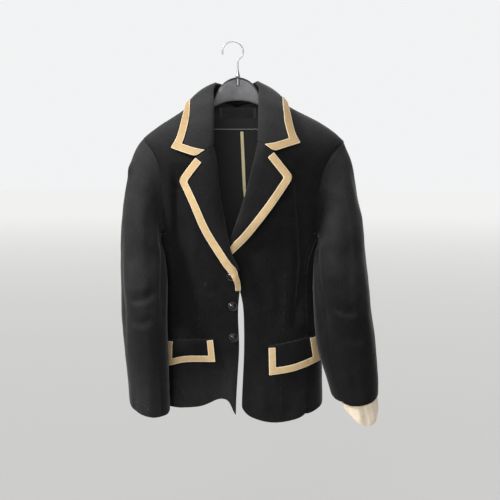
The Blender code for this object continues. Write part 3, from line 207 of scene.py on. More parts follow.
class Graph:
    """A material's nodes, built with short calls."""

    def __init__(self, name: str) -> None:
        """Starts a material with one Principled shader.

        Args:
            name: The material's name.
        """
        self.material = bpy.data.materials.new(name)
        self.material.use_nodes = True
        self.tree = self.material.node_tree
        self.shader = self.tree.nodes["Principled BSDF"]
        self.place = self.tree.nodes.new("ShaderNodeTexCoord").outputs["Object"]

    def set(self, **values: float | Rgb) -> None:
        """Sets constants on the shader's own sockets.

        Args:
            values: The values by the sockets' names, with _ for a space.
        """
        for name, value in values.items():
            socket = self.shader.inputs[name.replace("_", " ")]
            socket.default_value = (*value, 1.0) if isinstance(value, tuple) else value

    def add(self, kind: str, inputs: dict, **options: object) -> bpy.types.Node:
        """Adds a node.

        Args:
            kind: The node's type, without its ShaderNode prefix.
            inputs: Values or sockets to link, by the input's name or number.
            options: The node's own settings.

        Returns:
            The node.
        """
        node = self.tree.nodes.new(f"ShaderNode{kind}")
        for name, value in options.items():
            setattr(node, name, value)
        for name, value in inputs.items():
            if isinstance(value, bpy.types.NodeSocket):
                self.tree.links.new(value, node.inputs[name])
            else:
                node.inputs[name].default_value = value
        return node

    def noise(
        self, size: float, detail: float = 2.0, stretch: Place = (1.0, 1.0, 1.0)
    ) -> bpy.types.NodeSocket:
        """A noise whose features are about size millimetres wide.

        Args:
            size: The width of its features.
            detail: How many finer layers it has.
            stretch: How much it is squeezed along each axis.

        Returns:
            The socket with its value.
        """
        per_metre = 1.0 / (size * MM)
        scale = tuple(per_metre * s for s in stretch)
        scaled = self.add("Mapping", {"Vector": self.place, "Scale": scale}).outputs[0]
        return self.add("TexNoise", {"Vector": scaled, "Scale": 1.0, "Detail": detail}).outputs[0]

    def attribute(self, name: str) -> bpy.types.NodeSocket:
        """The value of a named attribute of the surface."""
        return self.add("Attribute", {}, attribute_name=name).outputs["Fac"]

    def ramp(
        self, value: bpy.types.NodeSocket, span: Point, result: Point = WHOLE
    ) -> bpy.types.NodeSocket:
        """Maps a value from one range to another, smoothly and clamped.

        Args:
            value: The socket to map.
            span: The values where the change starts and ends.
            result: The results at those two.

        Returns:
            The mapped socket.
        """
        inputs = dict(zip(("From Min", "From Max", "To Min", "To Max"), (*span, *result)))
        inputs["Value"] = value
        return self.add("MapRange", inputs, interpolation_type="SMOOTHSTEP").outputs[0]

    def maths(self, kind: str, a: object, b: object) -> bpy.types.NodeSocket:
        """One step of arithmetic on two values or sockets."""
        return self.add("Math", {0: a, 1: b}, operation=kind).outputs[0]

    def mean(self, a: object, b: object) -> bpy.types.NodeSocket:
        """The mean of two values."""
        return self.maths("MULTIPLY", self.maths("ADD", a, b), 0.5)

    def mix(self, share: object, a: object, b: object) -> bpy.types.NodeSocket:
        """A colour between two colours.

        Args:
            share: How much of b.
            a: The first colour, or its socket.
            b: The second colour, or its socket.

        Returns:
            The mixed colour's socket.
        """
        first, second = ((*c, 1.0) if isinstance(c, tuple) else c for c in (a, b))
        return self.add("Mix", {0: share, 6: first, 7: second}, data_type="RGBA").outputs[2]

    def bump(self, height: bpy.types.NodeSocket, depth: float, strength: float) -> None:
        """Raises the surface by a height from 0 to 1, times depth in millimetres."""
        node = self.add("Bump", {"Height": height, "Distance": depth * MM, "Strength": strength})
        self.tree.links.new(node.outputs[0], self.shader.inputs["Normal"])

    def link(self, value: bpy.types.NodeSocket, name: str) -> None:
        """Links a socket to one of the shader's inputs."""
        self.tree.links.new(value, self.shader.inputs[name])


@dataclass(frozen=True)
class WoolFinish:
    """Matt, fine-napped dark wool with paler hairs and rubbed edges, and painted light on its inner faces,
    where it faces up, on some pieces and towards some hems.
    """

    name: str = "dark_wool"
    deep: Rgb = shade(10, 10, 11)
    lit: Rgb = shade(26, 26, 27)
    hair: Rgb = shade(60, 60, 61)
    worn: Rgb = shade(42, 42, 43)
    # painted light: the paler colour of the inner faces, which lie in shade
    inside: Rgb = shade(66, 66, 66)
    # painted light: the paler colour where the cloth faces up, on the left sleeve, the collar and lapels, and
    # towards the left hems
    painted_light: Rgb = shade(52, 52, 53)
    tuft_size: float = 3.2
    tuft_stretch: Place = (1.0, 1.0, 0.5)
    tuft_range: Point = (0.34, 0.68)
    patch_size: float = 34.0
    patch_range: Point = (0.32, 0.70)
    nap_size: float = 0.55
    nap_range: Point = (0.3, 0.7)
    hair_size: float = 0.45
    hair_stretch: Place = (1.0, 1.0, 0.16)
    hair_range: Point = (0.60, 0.78)
    hair_share: float = 0.42
    rubbed_from_rim: Point = (0.4, 2.6)  # where the rubbing is full, and where it ends
    rubbed_from_seam: Point = (3.0, 6.0)  # a rim that is sewn into a seam doesn't rub
    rubbed_share: float = 0.30
    least_painted_light: float = 0.75
    inside_light_span: Point = (0.5, 0.9)  # where the painted light on inner faces starts, and where it is full
    inside_light_share: float = 0.75
    roughness: Point = (0.84, 0.97)
    specular: float = 0.10
    sheen: float = 0.30
    sheen_roughness: float = 0.36
    sheen_tint: Rgb = (0.62, 0.62, 0.63)
    lifts: Place = (0.30, 0.22, 0.25)  # of the nap, the hairs and the tufts
    pile_depth: float = 0.6
    pile_strength: float = 0.9

    def make(self) -> bpy.types.Material:
        """Builds the material.

        Returns:
            The material, which reads the attributes rim, seam, faded and inside.
        """
        g = Graph(self.name)
        tufts = g.ramp(g.noise(self.tuft_size, FINE, self.tuft_stretch), self.tuft_range)
        patches = g.mean(g.ramp(g.noise(self.patch_size, FINE), self.patch_range), tufts)
        nap = g.noise(self.nap_size, FINE)
        hairs = g.noise(self.hair_size, stretch=self.hair_stretch)
        body = g.mix(g.mean(patches, nap), self.deep, self.lit)
        body = g.mix(g.ramp(hairs, self.hair_range, (0.0, self.hair_share)), body, self.hair)
        free = g.ramp(g.attribute("seam"), self.rubbed_from_seam, (0.0, self.rubbed_share))
        rubbed = g.maths("MULTIPLY", g.ramp(g.attribute("rim"), self.rubbed_from_rim, FALLING), free)
        body = g.mix(rubbed, body, self.worn)
        uneven = g.ramp(patches, WHOLE, (self.least_painted_light, 1.0))
        # painted light: paler wool where the painted-light mask is set, unevenly by the patches
        body = g.mix(g.maths("MULTIPLY", g.attribute("painted_light"), uneven), body, self.painted_light)
        # painted light on the inner faces
        inside_light = g.ramp(g.attribute("inside"), self.inside_light_span, (0.0, self.inside_light_share))
        g.link(g.mix(inside_light, body, self.inside), "Base Color")
        g.link(g.ramp(nap, self.nap_range, self.roughness), "Roughness")
        g.set(Specular_IOR_Level=self.specular, Sheen_Weight=self.sheen)
        g.set(Sheen_Roughness=self.sheen_roughness, Sheen_Tint=self.sheen_tint)
        lifted = [g.maths("MULTIPLY", part, lift) for part, lift in zip((nap, hairs, tufts), self.lifts)]
        pile = g.maths("ADD", g.maths("ADD", lifted[0], lifted[1]), lifted[2])
        g.bump(pile, self.pile_depth, self.pile_strength)
        return g.material


@dataclass(frozen=True)
class FeltFinish:
    """Tan felt ribbon with a painted highlight along its rim, a stitched groove, and painted shade where it
    faces up.
    """

    name: str = "tan_felt"
    base: Rgb = shade(205, 178, 135)
    dull: Rgb = shade(194, 164, 119)
    # painted highlight: the colour that the rim is made towards
    pale: Rgb = shade(236, 220, 188)
    # painted shade: the darker colour where the felt faces up
    top_shade: Rgb = shade(150, 120, 82)
    fibre_size: float = 0.8
    fibre_stretch: Place = (1.0, 1.0, 0.45)
    fibre_range: Point = (0.3, 0.7)
    cloud_size: float = 9.0
    cloud_range: Point = (0.35, 0.68)
    top_shade_share: float = 0.8
    highlight_span: Point = (0.5, 1.9)  # where the painted highlight is full, and where it ends
    highlight_share: float = 0.85
    groove_from_rim: float = 2.3
    groove_half: float = 0.7
    roughness: Point = (0.80, 0.95)
    specular: float = 0.18
    sheen: float = 0.18
    sheen_roughness: float = 0.5
    sheen_tint: Rgb = (1.0, 0.93, 0.80)
    lift: float = 0.6
    depth: float = 0.35
    strength: float = 0.9

    def make(self) -> bpy.types.Material:
        """Builds the material.

        Returns:
            The material, which reads the attributes rim and faded.
        """
        g = Graph(self.name)
        clouds = g.ramp(g.noise(self.cloud_size, FINE), self.cloud_range)
        fibres = g.noise(self.fibre_size, FINE, self.fibre_stretch)
        body = g.mix(g.mean(clouds, fibres), self.base, self.dull)
        # painted shade: darker felt where the painted-light mask is set, which for the felt is where it faces
        # up
        body = g.mix(g.maths("MULTIPLY", g.attribute("painted_light"), self.top_shade_share), body, self.top_shade)
        rim = g.attribute("rim")
        # painted highlight: paler towards the rim
        g.link(g.mix(g.ramp(rim, self.highlight_span, (self.highlight_share, 0.0)), body, self.pale), "Base Color")
        g.link(g.ramp(fibres, self.fibre_range, self.roughness), "Roughness")
        g.set(Specular_IOR_Level=self.specular, Sheen_Weight=self.sheen)
        g.set(Sheen_Roughness=self.sheen_roughness, Sheen_Tint=self.sheen_tint)
        away = g.maths("ABSOLUTE", g.maths("SUBTRACT", rim, self.groove_from_rim), 0.0)
        stitched = g.ramp(away, (0.0, self.groove_half))
        lifted = [g.maths("MULTIPLY", part, self.lift) for part in (fibres, stitched)]
        g.bump(g.maths("ADD", *lifted), self.depth, self.strength)
        return g.material


@dataclass(frozen=True)
class WovenFinish:
    """A smooth woven ribbon, lining or thread."""

    name: str
    base: Rgb
    dull: Rgb
    edge: Rgb
    roughness: float
    thread: float
    ends: Place | None = None  # x of two folded ends, and how wide they are
    specular: float = 0.35
    sheen: float = 0.1
    sheen_roughness: float = 0.4
    thread_stretch: Place = (0.12, 1.0, 1.0)
    thread_range: Point = (0.3, 0.7)
    gloss_range: Point = (-0.06, 0.08)
    cloud_size: float = 11.0
    cloud_range: Point = (0.35, 0.65)
    edge_span: Point = (0.15, 0.9)
    edge_share: float = 0.7
    end_soft: float = 0.6
    end_share: float = 0.6
    depth: float = 0.12
    strength: float = 0.8

    def make(self) -> bpy.types.Material:
        """Builds the material.

        Returns:
            The material, which reads the attribute rim.
        """
        g = Graph(self.name)
        threads = g.noise(self.thread, stretch=self.thread_stretch)
        clouds = g.noise(self.cloud_size)
        body = g.mix(g.ramp(g.mean(threads, clouds), self.cloud_range), self.base, self.dull)
        rim = g.ramp(g.attribute("rim"), self.edge_span, (self.edge_share, 0.0))
        body = g.mix(rim, body, self.edge)
        if self.ends:
            first, last, wide = self.ends
            across = g.add("SeparateXYZ", {0: g.place}).outputs[0]
            left = ((first + wide) * MM, (first + wide + self.end_soft) * MM)
            right = ((last - wide - self.end_soft) * MM, (last - wide) * MM)
            both = g.maths("ADD", g.ramp(across, left, FALLING), g.ramp(across, right))
            body = g.mix(g.maths("MULTIPLY", both, self.end_share), body, self.edge)
        g.link(body, "Base Color")
        gloss = tuple(self.roughness + change for change in self.gloss_range)
        g.link(g.ramp(threads, self.thread_range, gloss), "Roughness")
        g.set(Specular_IOR_Level=self.specular, Sheen_Weight=self.sheen)
        g.set(Sheen_Roughness=self.sheen_roughness)
        g.bump(threads, self.depth, self.strength)
        return g.material


@dataclass(frozen=True)
class HardFinish:
    """A moulded or plated surface with a fine grain."""

    name: str
    base: Rgb
    dull: Rgb
    roughness: float
    grain: float
    grain_depth: float
    metallic: float = 0.0
    coat: float = 0.0
    coat_roughness: float = 0.08
    specular: float = 0.5
    cloud_size: float = 14.0
    cloud_range: Point = (0.35, 0.65)
    gloss_span: Point = (0.3, 0.7)
    gloss_range: Point = (0.85, 1.2)
    strength: float = 0.6

    def make(self) -> bpy.types.Material:
        """Builds the material.

        Returns:
            The material.
        """
        g = Graph(self.name)
        clouds = g.noise(self.cloud_size, FINE)
        g.link(g.mix(g.ramp(clouds, self.cloud_range), self.base, self.dull), "Base Color")
        gloss = tuple(self.roughness * share for share in self.gloss_range)
        g.link(g.ramp(clouds, self.gloss_span, gloss), "Roughness")
        g.set(Metallic=self.metallic, Specular_IOR_Level=self.specular)
        g.set(Coat_Weight=self.coat, Coat_Roughness=self.coat_roughness)
        g.bump(g.noise(self.grain), self.grain_depth, self.strength)
        return g.material


@dataclass(frozen=True)
class FloorFinish:
    """A pale studio floor that glows a little, more so far off, so that it has no horizon."""

    name: str = "floor_white"
    base: Rgb = (0.20, 0.20, 0.197)
    glow: Rgb = (1.0, 1.0, 0.985)
    distances: Point = (0.5, 16.0)  # in metres
    glows: Point = (0.24, 0.50)
    roughness: float = 0.9
    specular: float = 0.1

    def make(self) -> bpy.types.Material:
        """Builds the material.

        Returns:
            The material.
        """
        g = Graph(self.name)
        away = g.add("VectorMath", {0: g.place}, operation="LENGTH").outputs["Value"]
        g.link(g.ramp(away, self.distances, self.glows), "Emission Strength")
        g.set(Base_Color=self.base, Emission_Color=self.glow)
        g.set(Roughness=self.roughness, Specular_IOR_Level=self.specular)
        return g.material


def made_by(
    finish: WoolFinish | FeltFinish | WovenFinish | HardFinish | FloorFinish
) -> bpy.types.Material:
    """A field that starts as the finish's material."""
    return field(default_factory=finish.make)


@dataclass(frozen=True)
class Finishes:
    """Every finish of the blazer, its hanger and what it hangs before."""

    wool: bpy.types.Material = made_by(WoolFinish())
    felt: bpy.types.Material = made_by(FeltFinish())
    satin: bpy.types.Material = made_by(WovenFinish(
        "label_satin", shade(24, 24, 25), shade(33, 33, 34), shade(74, 74, 73),
        roughness=0.38, thread=0.5, ends=(-28.0, 46.5, 5.0),
    ))
    piping: bpy.types.Material = made_by(WovenFinish(
        "grey_piping", shade(142, 142, 140), shade(108, 108, 107), shade(154, 154, 152),
        roughness=0.55, thread=0.4,
    ))
    binding: bpy.types.Material = made_by(WovenFinish(
        "pale_binding", shade(255, 244, 198), shade(253, 238, 184), shade(248, 226, 160),
        roughness=0.5, thread=0.35,
    ))
    lining: bpy.types.Material = made_by(WovenFinish(
        "beige_lining", shade(228, 214, 192), shade(214, 198, 175), shade(236, 224, 206),
        roughness=0.48, thread=0.4,
    ))
    button: bpy.types.Material = made_by(HardFinish(
        "button_black", shade(9, 9, 9), shade(17, 16, 16),
        roughness=0.30, grain=1.2, grain_depth=0.02, coat=0.25, specular=0.3,
    ))
    plastic: bpy.types.Material = made_by(HardFinish(
        "hanger_grey", shade(104, 104, 106), shade(96, 96, 98),
        roughness=0.45, grain=0.5, grain_depth=0.05, specular=0.4,
    ))
    rim: bpy.types.Material = made_by(HardFinish(
        "hanger_rim", shade(44, 44, 46), shade(54, 54, 56),
        roughness=0.4, grain=0.5, grain_depth=0.04, specular=0.4,
    ))
    chrome: bpy.types.Material = made_by(HardFinish(
        "hook_chrome", shade(202, 202, 203), shade(182, 182, 184),
        roughness=0.24, grain=2.0, grain_depth=0.01, metallic=1.0,
    ))
    pin: bpy.types.Material = made_by(HardFinish(
        "hook_pin_grey", shade(172, 172, 170), shade(156, 156, 155),
        roughness=0.4, grain=0.8, grain_depth=0.02, specular=0.4,
    ))
    thread: bpy.types.Material = made_by(WovenFinish(
        "pale_thread", shade(84, 83, 80), shade(66, 65, 63), shade(84, 83, 80),
        roughness=0.7, thread=0.2,
    ))
    lint: bpy.types.Material = made_by(WovenFinish(
        "lint_fibre", shade(80, 80, 79), shade(66, 66, 66), shade(80, 80, 79),
        roughness=0.8, thread=0.2,
    ))
    floor: bpy.types.Material = made_by(FloorFinish())


@dataclass(frozen=True)
class Fold:
    """One soft trough or ridge along a line on the cloth."""

    line: Sequence[Point]  # across and height, in millimetres
    depth: float  # above 0 for a ridge and below 0 for a trough
    width: float
    lean: float = 0.0  # how much steeper one flank is
    fade: float = 0.35  # share of its length over which each end dies away
    flanks: float = 0.55  # how much the cloth beside it goes the other way

    def height(self, across: np.ndarray, up: np.ndarray) -> np.ndarray:
        """How far the fold lifts the cloth at each place.

        Args:
            across: Places across the cloth.
            up: Heights of the same places.

        Returns:
            The lift in millimetres.
        """
        line = np.array(self.line, float)
        lengths = np.linalg.norm(np.diff(line, axis=0), axis=1)
        starts = np.concatenate([[0.0], np.cumsum(lengths)])
        best = np.full(across.shape, 1e9)
        side = np.zeros(across.shape)
        along = np.zeros(across.shape)
        for (ax, az), (bx, bz), length, start in zip(line, line[1:], lengths, starts):
            wx, wz = (bx - ax) / length, (bz - az) / length
            t = np.clip((across - ax) * wx + (up - az) * wz, 0.0, length)
            dx, dz = across - ax - t * wx, up - az - t * wz
            away = np.hypot(dx, dz)
            near = away < best
            best = np.where(near, away, best)
            side = np.where(near, np.sign(dx * wz - dz * wx), side)
            along = np.where(near, (start + t) / starts[-1], along)
        u = best / self.width * (1.0 + self.lean * side)
        ends = eased(np.clip(np.minimum(along, 1.0 - along) / self.fade, 0.0, 1.0))
        return self.depth * ends * (1.0 - self.flanks * u * u) * np.exp(-u * u)


@dataclass(frozen=True)
class Unevenness:
    """The slow, slight waves that any hanging cloth has."""

    depth: float
    size: float
    seed: float
    waves: int = 9
    turn: float = 2.399  # the angle from one wave's direction to the next one's

    def height(self, points: np.ndarray) -> np.ndarray:
        """The waves' height.

        Args:
            points: Places in millimetres.

        Returns:
            The height at each of them.
        """
        total = np.zeros(len(points))
        for k in range(self.waves):
            turn = self.seed + self.turn * k
            way = np.array((math.cos(turn), 0.6 * math.sin(2.1 * turn + 1.0), 0.55 * math.sin(turn)))
            pitch = self.size * (0.55 + 0.17 * k)
            total += np.sin(points @ way * (2 * math.pi / pitch) + 1.7 * k + self.seed)
        return total * self.depth / 4.0


@dataclass
class Drape:
    """The folds of one part of the blazer, and the way its cloth moves out by them."""

    folds: Sequence[Fold]
    waves: Sequence[Unevenness]
    outward: Callable[[np.ndarray], np.ndarray]
    across: Callable[[np.ndarray], np.ndarray]

    def move(self, points: np.ndarray, share: np.ndarray | float = 1.0) -> np.ndarray:
        """How far each point moves.

        Args:
            points: Places in millimetres, with x counted from the stem.
            share: How much of the drape each point takes.

        Returns:
            The moves, in millimetres.
        """
        lift = np.zeros(len(points))
        across = self.across(points)
        for fold in self.folds:
            lift += fold.height(across, points[:, 2])
        for wave in self.waves:
            lift += wave.height(points)
        return self.outward(points) * (lift * share)[:, None]


class Cloth:
    """A cut piece, carried over from its solid as one fine mesh."""

    RIM_ANGLE = 1.3  # a solid's edge that turns more than this, in radians, is the cloth's rim
    WELD = 2e-6  # a solid's corners nearer than this, in metres, are one
    FLAT_ANGLE = 0.9  # triangles that turn less than this, in radians, are joined
    SKEW = 1.6
    FACES_UP = (0.10, 0.45)  # how far up a surface faces before its painted light starts, and the rise to full
    # the painted light on a surface that faces fully up
    TOP_PAINTED_LIGHT = 0.85
    HEM = (-600.0, 90.0)  # the height where painted light towards a hem starts, and the drop to full

    def __init__(
        self, node: str, levels: int, bevel: float = 0.55, relax: tuple[int, float] = (0, 0.0)
    ) -> None:
        """Copies the solid, rounds its edges and refines it.

        Args:
            node: The solid's name.
            levels: How often the surface is divided.
            bevel: Width of the rounded edge in millimetres.
            relax: How often the form is evened out, and above what height.
        """
        self.node = node
        self.mesh = bpy.data.meshes.new(f"{node}_cloth")
        work = bmesh.new()
        work.from_mesh(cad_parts[node].data)
        bmesh.ops.remove_doubles(work, verts=work.verts, dist=self.WELD)
        bmesh.ops.join_triangles(
            work, faces=work.faces, angle_face_threshold=self.FLAT_ANGLE, angle_shape_threshold=self.SKEW
        )
        folded = (e for e in work.edges if len(e.link_faces) == 2)
        edges = [e for e in folded if e.calc_face_angle() > self.RIM_ANGLE]
        self.rim = self.sample(edges)
        self.plain = BVHTree.FromBMesh(work)
        rim = {v for e in edges for v in e.verts}
        loose = [v for v in work.verts if v not in rim and v.co.z > relax[1] * MM]
        for _ in range(relax[0]):
            bmesh.ops.smooth_vert(
                work, verts=loose, factor=0.5, use_axis_x=True, use_axis_y=True, use_axis_z=True
            )
        if bevel:
            bmesh.ops.bevel(
                work, geom=edges, offset=bevel * MM, offset_type="OFFSET", segments=1,
                profile=0.5, affect="EDGES", clamp_overlap=True, material=-1,
            )
        work.to_mesh(self.mesh)
        work.free()
        self.mesh.materials.clear()
        self.object = link_object(f"{node}_cloth", self.mesh)
        divide = self.object.modifiers.new("fine", "SUBSURF")
        divide.levels = divide.render_levels = levels
        fine = bpy.data.meshes.new_from_object(
            self.object.evaluated_get(bpy.context.evaluated_depsgraph_get())
        )
        self.object.modifiers.remove(divide)
        self.object.data = fine
        bpy.data.meshes.remove(self.mesh)
        self.mesh = fine
        self.points = self.read("co") / MM - STEM
        self.rim_distance = self.distance_to(self.rim)
        self.note("rim", self.rim_distance)
        self.armhole = self.seam = np.full(len(self.points), FAR)

    @staticmethod
    def sample(edges: Sequence[bmesh.types.BMEdge]) -> np.ndarray:
        """Points along edges, about a millimetre apart.

        Args:
            edges: The edges.

        Returns:
            The points, in millimetres from the stem.
        """
        found = []
        for edge in edges:
            a, b = (np.array(v.co) / MM for v in edge.verts)
            count = max(2, int(np.linalg.norm(b - a)) + 1)
            found += [a + (b - a) * t / count for t in range(count + 1)]
        return np.array(found) - STEM

    def read(self, what: str) -> np.ndarray:
        """Reads one vector for each of the mesh's points.

        Args:
            what: The vector's name, such as co or normal.

        Returns:
            The vectors as rows.
        """
        flat = np.zeros(len(self.mesh.vertices) * 3, np.float32)
        self.mesh.vertices.foreach_get(what, flat)
        return flat.reshape(-1, 3).astype(float)

    def normals(self) -> np.ndarray:
        """The dressed surface's normal at each point."""
        self.write()
        return self.read("normal")

    def write(self) -> None:
        """Puts the points back into the mesh."""
        flat = ((self.points + STEM) * MM).astype(np.float32)
        self.mesh.vertices.foreach_set("co", flat.ravel())
        self.mesh.update()

    def distance_to(self, places: np.ndarray) -> np.ndarray:
        """How far each point is from the nearest of some places.

        Args:
            places: The places, in millimetres from the stem.

        Returns:
            The distances in millimetres, at most FAR.
        """
        if not len(places):
            return np.full(len(self.points), FAR)
        tree = search_tree(places)
        return np.array([min(FAR, tree.find(p)[2]) for p in self.points])

    def note(self, name: str, values: np.ndarray) -> None:
        """Stores a value for each point, which the finish reads."""
        made = self.mesh.attributes.get(name) or self.mesh.attributes.new(name, "FLOAT", "POINT")
        made.data.foreach_set("value", values.astype(np.float32))

    def fade(self, base: float, hem: float = 0.0) -> None:
        """Notes the mask of painted light on the cloth: where it faces up most, and towards its hem.

        Args:
            base: The painted light on the whole piece, from 0 to 1.
            hem: What is added at the hem.
        """
        up = np.clip((self.normals()[:, 2] - self.FACES_UP[0]) / self.FACES_UP[1], 0.0, 1.0)
        low = np.clip((self.HEM[0] - self.points[:, 2]) / self.HEM[1], 0.0, 1.0)
        self.note("painted_light", np.clip(base + self.TOP_PAINTED_LIGHT * up + hem * low, 0.0, 1.0))

    def surface(self) -> BVHTree:
        """The dressed surface as a search tree, in metres."""
        points = [to_world(point) for point in self.points]
        return BVHTree.FromPolygons(points, [tuple(face.vertices) for face in self.mesh.polygons])

    def finish(self, material: bpy.types.Material, slot: str) -> bpy.types.Object:
        """Writes the points, gives the material and takes the solid's place.

        Args:
            material: The finish.
            slot: The record's material slot.

        Returns:
            The finished object.
        """
        self.write()
        self.mesh.shade_smooth()
        settle(self.object, material, slot, self.node)
        return self.object


@dataclass(frozen=True)
class Cut:
    """A piece's flat cut, and how it is carried."""

    flat: tuple[float, float]
    area: float
    rests_on: tuple[str, ...]

    def declare(self, made: bpy.types.Object, with_pieces: Sequence[bpy.types.Object] = ()) -> None:
        """Args:
            made: The dressed piece. Not used.
            with_pieces: Pieces that are part of the same sheet. Not used.
        """


@dataclass
class Shell:
    """The body and the sleeves: wool panels sewn edge to edge, with their folds."""

    centre: Point = (3.0, -5.0)
    half: Point = (168.0, 74.0)
    sewn_within: float = 4.0
    sleeve_within: float = 7.0  # the same, where a sleeve meets the body
    armhole_low: float = -388.0
    reach: float = 9.0  # how far off a seam's other side may be
    cap: tuple[int, float] = (2, -330.0)  # how the right sleeve's head is evened out
    seam_dip: float = 0.6
    seam_width: float = 2.6
    meet: float = 0.55  # share of a seam's gap that each side closes
    give: float = 12.0  # how far from a seam its cloth follows
    rounds: int = 3
    calm: float = 26.0  # no folds this near to an armhole
    edge: float = 1.5  # how near to the rim a point meets the other panel
    turn: Point = (-14.0, 28.0)  # where a side panel's drape changes to the back's, and how wide
    # painted light on the whole of each listed piece, most on the left sleeve
    painted_light: dict[str, float] = field(
        default_factory=lambda: {
            "top_sleeve_left": 0.26, "under_sleeve_left": 0.22, "top_sleeve_right": 0.02,
        }
    )
    # painted light towards the hems, most on the left front
    hem_painted_light: dict[str, float] = field(
        default_factory=lambda: {"front_left": 0.50, "front_right": 0.12, "top_sleeve_left": 0.30}
    )
    levels: dict[str, int] = field(
        default_factory=lambda: {
            "front_left": 3, "front_right": 3, "back_left": 2, "back_right": 2,
            "side_left": 2, "side_right": 2, "top_sleeve_left": 3, "top_sleeve_right": 3,
            "under_sleeve_left": 2, "under_sleeve_right": 2,
        }
    )
    cuts: dict[str, Cut] = field(
        default_factory=lambda: {
            "front_left": Cut((0.147, 0.654), 0.0733, ("hanger",)),
            "front_right": Cut((0.174, 0.658), 0.0869, ("hanger",)),
            "back_left": Cut((0.200, 0.662), 0.0875, ("hanger",)),
            "back_right": Cut((0.220, 0.664), 0.0853, ("hanger",)),
            "side_left": Cut((0.141, 0.349), 0.0381, ("front_left_cloth", "back_left_cloth")),
            "side_right": Cut((0.146, 0.364), 0.0393, ("front_right_cloth", "back_right_cloth")),
            "top_sleeve_left": Cut((0.332, 0.526), 0.0956, ("front_left_cloth", "back_left_cloth")),
            "top_sleeve_right": Cut((0.325, 0.499), 0.0998, ("front_right_cloth", "back_right_cloth")),
            "under_sleeve_left": Cut((0.182, 0.399), 0.0376, ("top_sleeve_left_cloth", "side_left_cloth")),
            "under_sleeve_right": Cut((0.178, 0.375), 0.0373, ("top_sleeve_right_cloth", "side_right_cloth")),
        }
    )
    front_folds: tuple[Fold, ...] = (
        # right front: the deep fold from under the collar's tip, and its fellows
        Fold(
            ((118, -222), (116, -262), (119, -318), (124, -372), (127, -432), (121, -500), (108, -572)),
            -8.0, 13.0, 0.35, 0.22,
        ),
        Fold(((98, -300), (101, -372), (104, -440), (98, -520)), 2.6, 12.0, -0.2),
        Fold(((141, -352), (139, -410), (136, -470)), 2.0, 8.0, 0.1),
        Fold(((74, -430), (80, -500), (79, -570)), -1.6, 11.0),
        Fold(((34, -452), (52, -474), (74, -486)), -1.5, 8.0, 0.3),
        Fold(((26, -500), (48, -512), (70, -510)), -1.1, 7.0, -0.2),
        Fold(((42, -660), (46, -700), (50, -742)), 2.6, 17.0),
        Fold(((98, -664), (102, -700), (106, -742)), -2.8, 18.0, 0.2),
        Fold(((132, -640), (134, -690), (138, -736)), 2.2, 15.0),
        # left front
        Fold(
            ((-122, -232), (-120, -330), (-120, -430), (-122, -520), (-125, -610)),
            -9.5, 17.0, 0.55, 0.16,
        ),
        Fold(((-78, -330), (-84, -400), (-88, -470)), 1.8, 12.0),
        Fold(((-26, -470), (-46, -484), (-70, -488)), -1.4, 8.0, 0.25),
        Fold(((-22, -530), (-40, -538), (-58, -534)), -0.9, 7.0),
        Fold(((-30, -596), (-31, -650), (-34, -700)), -2.6, 14.0, 0.1),
        Fold(((-66, -640), (-64, -680), (-60, -712)), 2.4, 15.0),
        Fold(((-104, -642), (-106, -680), (-110, -722)), -2.2, 14.0, -0.2),
        Fold(((-10, -640), (-9, -680), (-8, -716)), 1.8, 9.0),
        # short drags out of the armholes
        Fold(((-146, -262), (-126, -282), (-108, -296)), -1.8, 8.0, 0.2),
        Fold(((150, -280), (136, -302), (124, -316)), -1.5, 8.0, 0.2),
    )
    back_folds: tuple[Fold, ...] = (
        Fold(((-128, -240), (-122, -320), (-116, -410), (-112, -480)), -4.5, 15.0, 0.2),
        Fold(((132, -250), (126, -330), (118, -420), (116, -500)), -5.0, 14.0, -0.15),
        Fold(((-82, -330), (-78, -420), (-84, -520)), 2.4, 16.0),
        Fold(((88, -300), (80, -400), (84, -500)), 2.2, 17.0, 0.1),
        Fold(((-30, -440), (-56, -462), (-90, -470)), -1.9, 10.0, 0.3),
        Fold(((34, -430), (62, -456), (96, -462)), -2.1, 10.0, -0.3),
        Fold(((-44, -520), (-48, -600), (-54, -690)), 2.6, 19.0),
        Fold(((-96, -540), (-100, -620), (-104, -700)), -3.0, 18.0, 0.15),
        Fold(((52, -530), (56, -610), (60, -700)), 2.4, 18.0),
        Fold(((108, -560), (110, -630), (114, -700)), -2.8, 17.0, -0.1),
        Fold(((-92, -190), (-70, -214), (-40, -226)), -1.3, 11.0),
        Fold(((96, -186), (74, -210), (44, -222)), -1.2, 11.0),
    )
    left_arm_folds: tuple[Fold, ...] = (
        # the angle round the arm times 50 mm, from the front (0) to the outside (79)
        Fold(((-52, -330), (-48, -400), (-44, -470), (-46, -560)), -5.5, 11.0, 0.2, 0.3),
        Fold(((-18, -300), (-14, -380), (-20, -470), (-16, -560)), -2.4, 13.0, -0.1),
        Fold(((16, -420), (20, -500), (12, -600)), 2.0, 14.0),
        Fold(((-34, -476), (-6, -496), (30, -500)), -2.6, 9.0, 0.3),
        Fold(((-30, -528), (2, -540), (40, -534)), -1.8, 8.0, -0.2),
        Fold(((46, -330), (52, -420), (48, -520), (54, -640)), -2.6, 15.0, 0.15),
        Fold(((84, -380), (90, -480), (86, -600)), 2.6, 16.0),
        Fold(((120, -400), (126, -500), (118, -640)), -3.0, 15.0, -0.2),
        Fold(((-10, -640), (-8, -680), (-4, -726)), 1.8, 12.0),
        Fold(((26, -650), (28, -690), (30, -726)), -2.0, 11.0),
        Fold(((-110, -500), (-136, -520), (-150, -560)), -2.2, 11.0),
        Fold(((79, -226), (79, -246), (79, -268)), 3.5, 24.0, 0.0, 0.5),
    )
